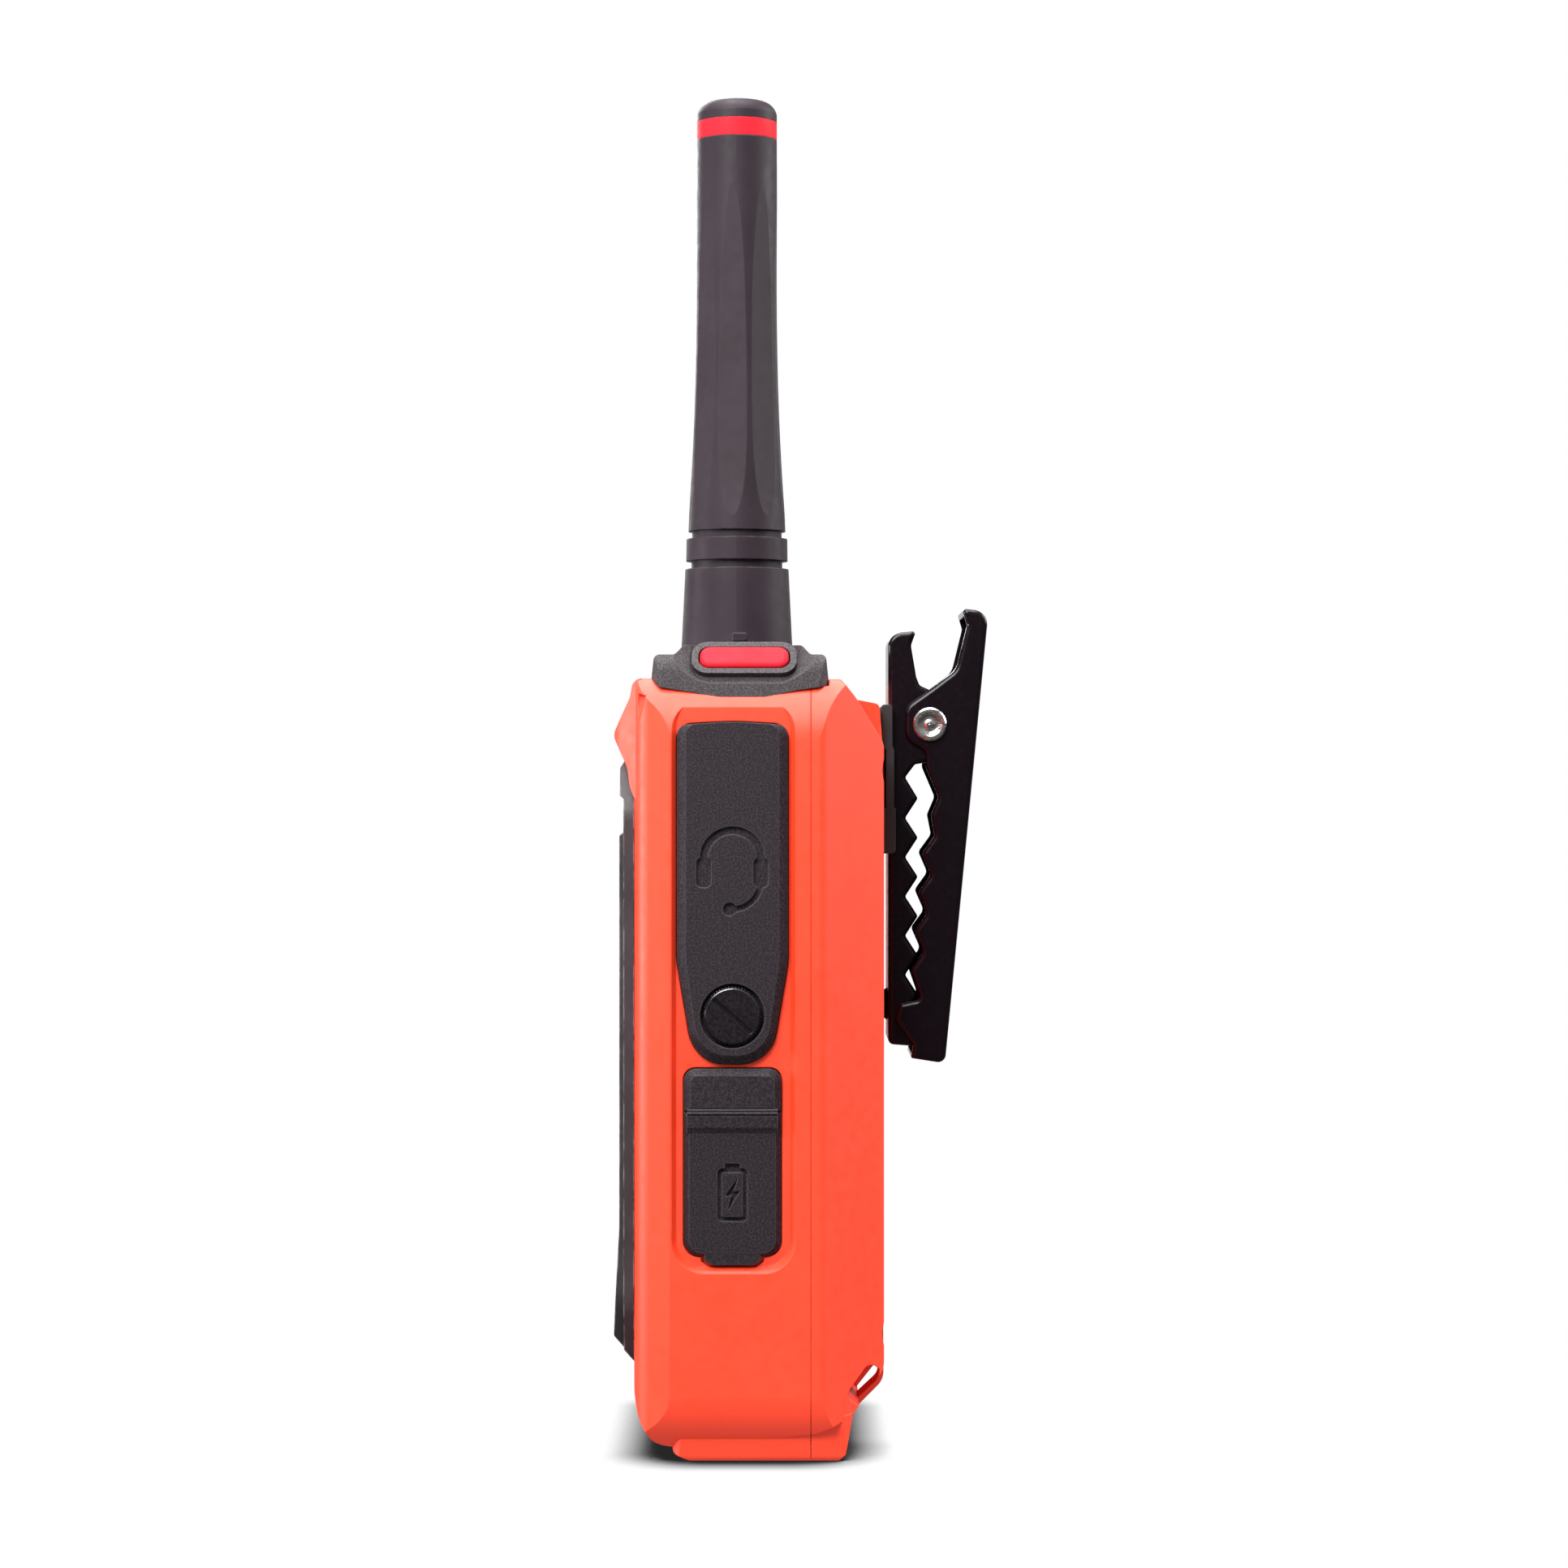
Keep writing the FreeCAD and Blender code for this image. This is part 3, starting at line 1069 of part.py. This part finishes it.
NODES = {
    "front_shell": front_shell,
    "rear_shell": rear_shell,
    "shell_gasket": lambda: gasket_ring(-0.03, SEAM_Y - 0.68, SEAM_Y),
    "shell_screws": shell_screws,
    "top_cap": top_cap,
    "top_button": top_button,
    "top_switch": top_switch,
    "headset_cover": headset_cover,
    "cover_seal": lambda: cover_seal_ring(0.0),
    "cover_screw": cover_screw,
    "screw_washer": screw_washer,
    "screw_insert": screw_insert,
    "headset_jacks": headset_jacks,
    "flap_anchor": flap_anchor,
    "charge_flap": charge_flap,
    "usb_socket": usb_socket,
    "antenna_whip": antenna_whip,
    "antenna_band": antenna_band,
    "antenna_tip": antenna_tip,
    "antenna_connector": antenna_connector,
    "antenna_o_ring": antenna_o_ring,
    "antenna_socket": antenna_socket,
    "antenna_nut": antenna_nut,
    "front_fascia": front_fascia,
    "grille_panel": grille_panel,
    "display_lens": display_lens,
    "lcd_module": lcd_module,
    "status_light": status_light,
    "key_menu": lambda: front_key(KEY_XS[0]),
    "key_down": lambda: front_key(KEY_XS[1]),
    "key_up": lambda: front_key(KEY_XS[2]),
    "key_back": lambda: front_key(KEY_XS[3]),
    "key_domes": key_domes,
    "key_board": key_board,
    "ptt_button": ptt_button,
    "side_key_upper": lambda: side_key(SIDE_KEY_Z[0]),
    "side_key_lower": lambda: side_key(SIDE_KEY_Z[1]),
    "side_board": side_board,
    "speaker": speaker,
    "speaker_mesh": speaker_mesh,
    "microphone": microphone,
    "main_board": main_board,
    "shield_cans": shield_cans,
    "board_chips": board_chips,
    "battery_pack": battery_pack,
    "battery_connector": battery_connector,
    "battery_pad": battery_pad,
    "clip_bracket": clip_bracket,
    "clip_screws": clip_screws,
    "clip_fixed_jaw": clip_fixed_jaw,
    "clip_moving_jaw": clip_moving_jaw,
    "clip_pivot": clip_pivot,
    "clip_spring": clip_spring,
    "clip_bumper": clip_bumper,
}

os.makedirs("parts", exist_ok=True)
for name, make in NODES.items():
    solid = make()
    solid.exportStep(f"parts/{name}.step")
    print(f"{name}: {len(solid.Solids)} solids, {solid.Volume:.1f} mm3, valid {solid.isValid()}")
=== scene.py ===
import bpy
import bmesh
import json
import math
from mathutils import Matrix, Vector


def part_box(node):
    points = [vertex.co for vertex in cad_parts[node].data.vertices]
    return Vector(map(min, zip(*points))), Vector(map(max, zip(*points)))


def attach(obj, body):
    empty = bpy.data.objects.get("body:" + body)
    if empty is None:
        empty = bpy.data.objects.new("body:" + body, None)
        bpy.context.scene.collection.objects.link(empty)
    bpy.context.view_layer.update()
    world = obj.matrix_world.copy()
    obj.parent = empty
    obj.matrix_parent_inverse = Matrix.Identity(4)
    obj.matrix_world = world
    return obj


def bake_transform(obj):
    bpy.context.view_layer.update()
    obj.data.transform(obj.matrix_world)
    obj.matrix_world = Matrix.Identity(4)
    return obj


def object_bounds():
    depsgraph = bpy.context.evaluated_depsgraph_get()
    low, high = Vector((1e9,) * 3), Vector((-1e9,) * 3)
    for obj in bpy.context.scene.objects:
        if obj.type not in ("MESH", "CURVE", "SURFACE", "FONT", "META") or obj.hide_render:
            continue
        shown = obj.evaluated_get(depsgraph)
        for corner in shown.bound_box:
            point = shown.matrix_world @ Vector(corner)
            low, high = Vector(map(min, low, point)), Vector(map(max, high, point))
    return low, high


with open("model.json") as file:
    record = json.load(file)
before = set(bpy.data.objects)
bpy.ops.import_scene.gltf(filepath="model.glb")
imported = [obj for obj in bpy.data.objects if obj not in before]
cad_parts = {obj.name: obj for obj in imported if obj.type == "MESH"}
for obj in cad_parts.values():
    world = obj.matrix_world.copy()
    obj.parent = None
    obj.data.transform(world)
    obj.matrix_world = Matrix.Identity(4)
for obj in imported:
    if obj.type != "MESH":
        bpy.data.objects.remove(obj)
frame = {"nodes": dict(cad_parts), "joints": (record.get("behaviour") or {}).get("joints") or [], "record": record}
CAD_LOW, CAD_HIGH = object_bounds()
NODES = frame["nodes"]
JOINTS = {joint["name"]: joint for joint in frame["joints"]}
SLOT_OF = {part["node"]: part["material_slot"] for part in frame["record"]["subparts"]}
MM = 0.001
CENTRE = (Vector(CAD_LOW) + Vector(CAD_HIGH)) / 2

FLOOR_RADIUS = 3.0
FADE_START, FADE_END = 0.12, 0.45   # from the origin, the floor turns clear between these
SHADOW_REACH = 0.009                # a surface nearer than this darkens the floor
FLOOR_LIGHT, FLOOR_MIRRORED = 0.75, 0.10

EYE = (0.570, 0.00357, 0.100)       # the camera, out on +X and facing the covers
LENS_MM, SENSOR_MM = 84.5, 36.0


# ---- shader nodes -------------------------------------------------------------------------
class Shader:
    """A material under construction: every node is made by add(), and set() fills its surface."""

    def __init__(self, name):
        self.material = bpy.data.materials.new(name)
        self.material.use_nodes = True
        self.tree = self.material.node_tree
        self.surface = self.tree.nodes["Principled BSDF"]
        self.place = self.add("ShaderNodeTexCoord").outputs["Object"]

    def add(self, kind, inputs=None, **settings):
        node = self.tree.nodes.new(kind)
        for key, value in settings.items():
            setattr(node, key, value)
        for key, value in (inputs or {}).items():
            self.feed(node.inputs[key], value)
        return node

    def feed(self, socket, value):
        if isinstance(value, bpy.types.NodeSocket):
            self.tree.links.new(value, socket)
        else:
            socket.default_value = value

    def set(self, **values):
        """Sets or links the surface's own sockets, such as Base_Color or Roughness."""
        for key, value in values.items():
            self.feed(self.surface.inputs[key.replace("_", " ")], value)
        return self

    def noise(self, size_mm, detail=2.0, rough=0.5):
        """Noise whose features are about size_mm across, from 0 to 1."""
        scale = 1.0 / (size_mm * MM)
        inputs = {"Vector": self.place, "Scale": scale, "Detail": detail, "Roughness": rough}
        return self.add("ShaderNodeTexNoise", inputs).outputs["Fac"]

    def cells(self, size_mm, feature="F1"):
        inputs = {"Vector": self.place, "Scale": 1.0 / (size_mm * MM)}
        return self.add("ShaderNodeTexVoronoi", inputs, feature=feature).outputs["Distance"]

    def ramp(self, value, low, high, to_low=0.0, to_high=1.0):
        """value moved from low..high to to_low..to_high, and held there."""
        inputs = {"Value": value, "From Min": low, "From Max": high, "To Min": to_low, "To Max": to_high}
        return self.add("ShaderNodeMapRange", inputs).outputs["Result"]

    def mix(self, share, first, second):
        node = self.add("ShaderNodeMix", data_type="RGBA")
        self.feed(node.inputs[0], share)
        self.feed(node.inputs[6], first)
        self.feed(node.inputs[7], second)
        return node.outputs[2]

    def maths(self, operation, first, second=0.0):
        node = self.add("ShaderNodeMath", operation=operation)
        self.feed(node.inputs[0], first)
        self.feed(node.inputs[1], second)
        return node.outputs[0]

    def rounded(self, radius_mm):
        """The surface's normal as if its edges had this radius."""
        return self.add("ShaderNodeBevel", {"Radius": radius_mm * MM}, samples=4).outputs["Normal"]

    def edges(self, radius_mm):
        """1 along sharp edges, 0 on flat ground, from how far a rounded normal leans."""
        bevel = self.rounded(radius_mm)
        flat = self.add("ShaderNodeNewGeometry").outputs["Normal"]
        dot = self.add("ShaderNodeVectorMath", operation="DOT_PRODUCT")
        self.feed(dot.inputs[0], bevel)
        self.feed(dot.inputs[1], flat)
        return self.ramp(dot.outputs["Value"], 0.995, 0.86)

    def bump(self, height, depth_mm, soften_mm=0.0):
        inputs = {"Height": height, "Distance": depth_mm * MM, "Strength": 1.0}
        if soften_mm:
            inputs["Normal"] = self.rounded(soften_mm)
        self.feed(self.surface.inputs["Normal"], self.add("ShaderNodeBump", inputs).outputs["Normal"])
        return self


def moulded(name, dark, light, grain_mm, grain_depth_mm, roughness, pale_edge_colour=None, soften_mm=0.25):
    """Moulded plastic or rubber: two tones in a slow mottle, a fine grain, and paler edges."""
    s = Shader(name)
    mottle = s.ramp(s.noise(9.0, 3.0), 0.35, 0.65)
    colour = s.mix(mottle, dark, light)
    if pale_edge_colour:
        # edges go paler in patches; on the fascia this paler edge is a painted highlight as well as scuffing
        paler_edges = s.maths("MULTIPLY", s.edges(0.35), s.ramp(s.noise(2.2, 4.0), 0.42, 0.62))
        colour = s.mix(paler_edges, colour, pale_edge_colour)
    grain = s.noise(grain_mm, 2.0, 0.6)
    sheen = s.ramp(s.noise(1.6, 3.0), 0.3, 0.7, roughness - 0.05, roughness + 0.07)
    s.set(Base_Color=colour, Roughness=sheen)
    return s.bump(grain, grain_depth_mm, soften_mm)


def orange_shell():
    s = moulded("orange_shell", (0.89, 0.044, 0.010, 1), (0.91, 0.048, 0.012, 1), 0.30, 0.006, 0.46)
    return s.set(IOR=1.46, Specular_IOR_Level=0.62).material


def stippled(name, dark, light, roughness):
    """Spark-eroded grain: a fine stipple whose high spots are paler and shinier."""
    s = Shader(name)
    grain = s.noise(0.26, 1.5, 0.7)
    speck = s.ramp(grain, 0.42, 0.68)
    # every edge goes 30% of the way to a pale grey, evenly along its length
    pale_edge_blend = s.maths("MULTIPLY", s.edges(0.3), 0.30)
    colour = s.mix(pale_edge_blend, s.mix(speck, dark, light), (0.16, 0.145, 0.155, 1))
    s.set(Base_Color=colour, Roughness=s.ramp(grain, 0.35, 0.7, roughness + 0.08, roughness - 0.08))
    return s.set(Specular_IOR_Level=0.30).bump(grain, 0.035, 0.2)


def cover_rubber():
    return stippled("cover_rubber", (0.006, 0.003, 0.005, 1), (0.032, 0.021, 0.028, 1), 0.62).material


def cap_plastic():
    return stippled("cap_plastic", (0.022, 0.017, 0.019, 1), (0.060, 0.050, 0.055, 1), 0.60).material


def antenna_plastic():
    s = moulded("antenna_plastic", (0.019, 0.012, 0.017, 1), (0.024, 0.016, 0.022, 1), 0.22, 0.006, 0.52,
                pale_edge_colour=(0.07, 0.06, 0.065, 1))
    return s.set(Specular_IOR_Level=0.20).material


def fascia_plastic():
    dark, light = (0.020, 0.016, 0.019, 1), (0.030, 0.025, 0.029, 1)
    # the pale edge colour paints a highlight along the fascia's edges, as well as scuffing
    return moulded("fascia_plastic", dark, light, 0.24, 0.012, 0.50, pale_edge_colour=(0.30, 0.27, 0.27, 1)).material


def black_plastic():
    dark, light = (0.010, 0.009, 0.010, 1), (0.018, 0.016, 0.018, 1)
    return moulded("black_plastic", dark, light, 0.3, 0.010, 0.5).material


def key_rubber():
    dark, light = (0.055, 0.053, 0.058, 1), (0.075, 0.072, 0.078, 1)
    return moulded("key_rubber", dark, light, 0.3, 0.012, 0.62).material


def seal_rubber():
    dark, light = (0.008, 0.008, 0.008, 1), (0.014, 0.013, 0.013, 1)
    return moulded("seal_rubber", dark, light, 0.5, 0.010, 0.6).material


def red_plastic():
    s = moulded("red_plastic", (0.60, 0.011, 0.021, 1), (0.66, 0.014, 0.027, 1), 0.5, 0.004, 0.58)
    return s.set(Specular_IOR_Level=0.12).material


def clip_steel():
    """Black lacquer on pressed steel: an uneven coat, fine scratches and edges scuffed to a dark grey."""
    s = Shader("clip_steel")
    scratches = s.noise(0.9, 4.0, 0.6)
    paler_edges = s.maths("MULTIPLY", s.edges(0.22), s.ramp(s.noise(1.1, 4.0), 0.50, 0.62))
    colour = s.mix(paler_edges, (0.0045, 0.0022, 0.0040, 1), (0.022, 0.020, 0.024, 1))
    rough = s.ramp(scratches, 0.35, 0.75, 0.16, 0.30)
    s.set(Base_Color=colour, Roughness=rough, Metallic=0.0, Specular_IOR_Level=0.22)
    s.set(Coat_Weight=0.08, Coat_Roughness=0.10)
    return s.bump(s.noise(2.4, 1.0), 0.006, 0.18).material


def metal(name, colour, second, roughness, size_mm=0.6, depth_mm=0.01):
    """Bare metal: two tones in a fine mottle, brushed or cast by its size and depth."""
    s = Shader(name)
    tone = s.noise(size_mm, 5.0, 0.65)
    s.set(Base_Color=s.mix(s.ramp(tone, 0.35, 0.65), colour, second), Metallic=1.0)
    s.set(Roughness=s.ramp(tone, 0.3, 0.7, roughness - 0.06, roughness + 0.10))
    return s.bump(tone, depth_mm).material


def rivet_steel():
    return metal("rivet_steel", (0.80, 0.78, 0.75, 1), (0.48, 0.46, 0.45, 1), 0.20, 0.8, 0.06)


def spring_steel():
    return metal("spring_steel", (0.55, 0.55, 0.56, 1), (0.42, 0.42, 0.43, 1), 0.28, 0.5)


def screw_steel():
    return metal("screw_steel", (0.20, 0.20, 0.21, 1), (0.30, 0.30, 0.31, 1), 0.34, 0.4)


def speaker_frame():
    return metal("speaker_frame", (0.30, 0.30, 0.31, 1), (0.22, 0.22, 0.22, 1), 0.42, 0.7)


def shield_tin():
    return metal("shield_tin", (0.66, 0.66, 0.65, 1), (0.55, 0.55, 0.54, 1), 0.32, 1.5)


def brass():
    return metal("brass", (0.80, 0.56, 0.24, 1), (0.70, 0.46, 0.18, 1), 0.25, 0.5)


def screw_black():
    """Black chromate on the cover screw: glossy, with faint turning marks."""
    s = Shader("screw_black")
    tone = s.noise(0.5, 4.0)
    s.set(Base_Color=s.mix(s.ramp(tone, 0.4, 0.6), (0.006, 0.004, 0.006, 1), (0.012, 0.009, 0.011, 1)))
    s.set(Metallic=0.0, Specular_IOR_Level=0.8, Roughness=s.ramp(tone, 0.3, 0.7, 0.12, 0.20))
    return s.set(Coat_Weight=0.6, Coat_Roughness=0.08).bump(tone, 0.006, 0.1).material


def lens_glass():
    """Smoked window over the display, dark and nearly opaque with the display off."""
    s = Shader("lens_glass")
    film = s.noise(6.0, 3.0)
    s.set(Base_Color=s.mix(s.ramp(film, 0.3, 0.7), (0.006, 0.008, 0.010, 1), (0.010, 0.012, 0.014, 1)))
    s.set(Roughness=s.ramp(film, 0.3, 0.7, 0.05, 0.10), Specular_IOR_Level=0.6)
    s.set(Coat_Weight=1.0, Coat_Roughness=0.03)
    return s.bump(s.noise(20.0, 1.0), 0.01).material


def light_pipe():
    s = Shader("light_pipe")
    cloud = s.noise(0.8, 2.0)
    s.set(Base_Color=s.mix(cloud, (0.75, 0.76, 0.74, 1), (0.88, 0.88, 0.86, 1)), Roughness=0.18)
    return s.bump(cloud, 0.004).material


def display_panel():
    s = Shader("display_panel")
    lines = s.cells(0.5)
    s.set(Base_Color=s.mix(lines, (0.16, 0.20, 0.18, 1), (0.20, 0.25, 0.22, 1)), Roughness=0.25)
    return s.bump(lines, 0.004).material


def circuit_board():
    """Green solder mask with lighter traces showing through."""
    s = Shader("circuit_board")
    traces = s.ramp(s.cells(2.4, "DISTANCE_TO_EDGE"), 0.03, 0.07)
    s.set(Base_Color=s.mix(traces, (0.05, 0.26, 0.11, 1), (0.015, 0.12, 0.045, 1)), Roughness=0.38)
    return s.bump(traces, 0.02).material


def chip_epoxy():
    return moulded("chip_epoxy", (0.012, 0.012, 0.012, 1), (0.02, 0.02, 0.02, 1), 0.3, 0.01, 0.55).material


def battery_wrap():
    return moulded("battery_wrap", (0.045, 0.06, 0.11, 1), (0.06, 0.075, 0.13, 1), 2.0, 0.02, 0.3).material


def foam():
    return moulded("foam", (0.03, 0.03, 0.03, 1), (0.07, 0.07, 0.07, 1), 0.4, 0.2, 0.9).material


def cloth():
    """Fine woven acoustic cloth."""
    s = Shader("cloth")
    warp = s.add("ShaderNodeTexWave", {"Vector": s.place, "Scale": 500.0}, bands_direction="X").outputs["Fac"]
    weft = s.add("ShaderNodeTexWave", {"Vector": s.place, "Scale": 500.0}, bands_direction="Z").outputs["Fac"]
    weave = s.maths("MULTIPLY", warp, weft)
    s.set(Base_Color=s.mix(weave, (0.008, 0.008, 0.009, 1), (0.05, 0.05, 0.052, 1)), Roughness=0.85)
    return s.bump(weave, 0.08).material


def paint_nodes():
    """Gives each carried-over node the material of its slot."""
    makers = {
        "orange_shell": orange_shell, "cover_rubber": cover_rubber, "antenna_plastic": antenna_plastic,
        "cap_plastic": cap_plastic, "red_plastic": red_plastic, "black_plastic": black_plastic,
        "fascia_plastic": fascia_plastic, "lens_glass": lens_glass, "light_pipe": light_pipe,
        "display_panel": display_panel, "key_rubber": key_rubber, "clip_steel": clip_steel,
        "rivet_steel": rivet_steel, "spring_steel": spring_steel, "screw_steel": screw_steel,
        "screw_black": screw_black, "brass": brass, "seal_rubber": seal_rubber,
        "circuit_board": circuit_board, "shield_tin": shield_tin, "chip_epoxy": chip_epoxy,
        "battery_wrap": battery_wrap, "foam": foam, "speaker_frame": speaker_frame, "cloth": cloth,
    }
    made = {slot: maker() for slot, maker in makers.items()}
    for name, node in NODES.items():
        node.data.materials.clear()
        node.data.materials.append(made[SLOT_OF[name]])
    return made


# ---- pieces ------------------------------------------------------------------------------
def piece(name, shape, slot, body):
    """Turns a bmesh into a piece that rides on a body and takes its finish from a slot."""
    mesh = bpy.data.meshes.new(name)
    bmesh.ops.recalc_face_normals(shape, faces=shape.faces)
    shape.to_mesh(mesh)
    shape.free()
    obj = bpy.data.objects.new(name, mesh)
    bpy.context.scene.collection.objects.link(obj)
    mesh.materials.append(MATERIALS[slot])
    if body:
        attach(obj, body)
    return obj


def slab(shape, corners, normal, thickness):
    """A flat plate: its corners lie in one plane, and it is thickened along normal."""
    face = shape.faces.new([shape.verts.new(corner) for corner in corners])
    grown = bmesh.ops.extrude_face_region(shape, geom=[face])
    moved = [item for item in grown["geom"] if isinstance(item, bmesh.types.BMVert)]
    bmesh.ops.translate(shape, verts=moved, vec=Vector(normal) * thickness)


def hinge_web():
    """The thin rubber that joins the charging flap to its anchor."""
    low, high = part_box("charge_flap")
    hinge = JOINTS["charge_flap_hinge"]["pos_m"]
    inset, reach, skin = 0.5 * MM, 0.5 * MM, 0.45 * MM
    sunk_edge, sunk_more = 0.10 * MM, 0.22 * MM
    across, up = 24, 12
    half = (high[1] - low[1]) / 2 - inset
    middle = (high[1] + low[1]) / 2
    shape = bmesh.new()
    rows = []
    for i in range(up + 1):
        share = i / up
        z = hinge[2] - reach + 2 * reach * share
        sunk = sunk_edge + sunk_more * math.sin(math.pi * share)
        line = []
        for j in range(across + 1):
            line.append(shape.verts.new((hinge[0] - sunk, middle - half + 2 * half * j / across, z)))
        rows.append(line)
    for lower, upper in zip(rows, rows[1:]):
        for j in range(across):
            shape.faces.new((lower[j], lower[j + 1], upper[j + 1], upper[j]))
    web = piece("hinge_web", shape, "cover_rubber", None)
    thick = web.modifiers.new("thickness", "SOLIDIFY")
    thick.thickness = skin
    thick.offset = -1.0
    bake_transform(web)


def key_icons():
    """A plain sign on each of the four keys: a menu, down, up, and a step back."""
    wide, deep, clear = 0.36 * MM, 0.05 * MM, 0.01 * MM
    strokes = {
        "key_menu": [((-1.3, 0.9), (1.3, 0.9)), ((-1.3, 0.0), (1.3, 0.0)), ((-1.3, -0.9), (1.3, -0.9))],
        "key_down": [((-1.2, 0.6), (0.0, -0.7)), ((0.0, -0.7), (1.2, 0.6))],
        "key_up": [((-1.2, -0.6), (0.0, 0.7)), ((0.0, 0.7), (1.2, -0.6))],
        "key_back": [((1.3, 0.0), (-1.2, 0.0)), ((-1.2, 0.0), (-0.2, 0.9)), ((-1.2, 0.0), (-0.2, -0.9))],
    }
    for key, lines in strokes.items():
        low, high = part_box(key)
        centre = Vector(((low[0] + high[0]) / 2, low[1] + clear, (low[2] + high[2]) / 2))
        shape = bmesh.new()
        for first, last in lines:
            a = centre + Vector((first[0], 0, first[1])) * MM
            b = centre + Vector((last[0], 0, last[1])) * MM
            along = (b - a).normalized() * wide / 2
            side = Vector((-along.z, 0, along.x))
            corners = [a - along - side, b + along - side, b + along + side, a - along + side]
            slab(shape, corners, (0, -1, 0), deep)
        piece("icon_" + key.split("_")[1], shape, "light_pipe", key)


# ---- stage --------------------------------------------------------------------------------
def by_ray(tree, seen, lighting, mirrored):
    """A strength for what the camera sees, for the light given, and for what shows in reflections."""
    path = tree.nodes.new("ShaderNodeLightPath")

    def choose(switch, no, yes):
        node = tree.nodes.new("ShaderNodeMix")
        node.data_type = "FLOAT"
        tree.links.new(path.outputs[switch], node.inputs[0])
        for socket, value in ((node.inputs[2], no), (node.inputs[3], yes)):
            if isinstance(value, bpy.types.NodeSocket):
                tree.links.new(value, socket)
            else:
                socket.default_value = value
        return node.outputs[0]
    return choose("Is Camera Ray", choose("Is Glossy Ray", lighting, mirrored), seen)


def floor():
    """A pale floor with a soft shadow at the foot, which fades into the white surroundings."""
    mesh = bpy.data.meshes.new("floor")
    shape = bmesh.new()
    bmesh.ops.create_circle(shape, cap_ends=True, segments=96, radius=FLOOR_RADIUS)
    shape.to_mesh(mesh)
    shape.free()
    obj = bpy.data.objects.new("floor", mesh)
    bpy.context.scene.collection.objects.link(obj)
    s = Shader("floor")
    away = s.add("ShaderNodeVectorMath", {0: s.place}, operation="LENGTH").outputs["Value"]
    near = s.add("ShaderNodeAmbientOcclusion", {"Distance": SHADOW_REACH}, samples=16).outputs["AO"]
    shade = s.ramp(near, 0.42, 0.88, 0.02, 1.0)
    strength = by_ray(s.tree, shade, FLOOR_LIGHT, FLOOR_MIRRORED)
    glow = s.add("ShaderNodeEmission", {"Color": (1, 1, 1, 1), "Strength": strength})
    clear = s.add("ShaderNodeBsdfTransparent").outputs["BSDF"]
    blend = s.add("ShaderNodeMixShader", {0: s.ramp(away, FADE_START, FADE_END)})
    s.feed(blend.inputs[1], glow.outputs["Emission"])
    s.feed(blend.inputs[2], clear)
    s.feed(s.tree.nodes["Material Output"].inputs["Surface"], blend.outputs["Shader"])
    mesh.materials.append(s.material)


def area_light(name, place, size, watts):
    """A soft rectangle of light, turned to the middle of the radio."""
    data = bpy.data.lights.new(name, "AREA")
    data.shape = "RECTANGLE"
    data.size, data.size_y = size
    data.energy = watts
    obj = bpy.data.objects.new(name, data)
    obj.location = place
    obj.rotation_euler = (CENTRE - Vector(place)).to_track_quat("-Z", "Y").to_euler()
    bpy.context.scene.collection.objects.link(obj)


def surroundings():
    """White to the camera; it lights from above, and reflects as a dim room with a pale backdrop."""
    world = bpy.data.worlds.new("white_studio")
    world.use_nodes = True
    tree = world.node_tree
    sky = tree.nodes["Background"]
    sky.inputs["Color"].default_value = (1, 1, 1, 1)
    direction = tree.nodes.new("ShaderNodeSeparateXYZ")
    tree.links.new(tree.nodes.new("ShaderNodeTexCoord").outputs["Generated"], direction.inputs[0])

    def span(axis, first, last, low, high):
        node = tree.nodes.new("ShaderNodeMapRange")
        tree.links.new(direction.outputs[axis], node.inputs["Value"])
        for key, value in (("From Min", first), ("From Max", last), ("To Min", low), ("To Max", high)):
            node.inputs[key].default_value = value
        return node.outputs["Result"]
    backdrop = tree.nodes.new("ShaderNodeMath")
    backdrop.operation = "MAXIMUM"
    tree.links.new(span("Z", -0.1, 0.9, 0.04, 0.80), backdrop.inputs[0])
    tree.links.new(span("X", -1.0, -0.55, 0.95, 0.0), backdrop.inputs[1])
    strength = by_ray(tree, 1.0, span("Z", -0.1, 0.9, 0.25, 0.90), backdrop.outputs[0])
    tree.links.new(strength, sky.inputs["Strength"])
    bpy.context.scene.world = world
    area_light("key", (0.34, -0.15, 0.38), (0.28, 0.24), 3.4)
    area_light("top", (0.05, -0.05, 0.95), (0.70, 0.60), 14.0)
    area_light("back", (-0.15, 0.70, 0.45), (0.50, 0.50), 6.0)
    area_light("left", (-0.65, -0.25, 0.45), (0.45, 0.45), 6.0)
    area_light("front", (0.02, -0.75, 0.10), (0.50, 0.16), 3.5)


def camera():
    data = bpy.data.cameras.new("camera")
    data.sensor_width = SENSOR_MM
    data.lens = LENS_MM
    obj = bpy.data.objects.new("camera", data)
    obj.location = EYE
    obj.rotation_euler = (math.radians(90), 0, math.radians(90))
    bpy.context.scene.collection.objects.link(obj)
    bpy.context.scene.camera = obj


MATERIALS = paint_nodes()
hinge_web()
key_icons()
floor()
surroundings()
camera()
bpy.context.scene.view_settings.view_transform = "Standard"
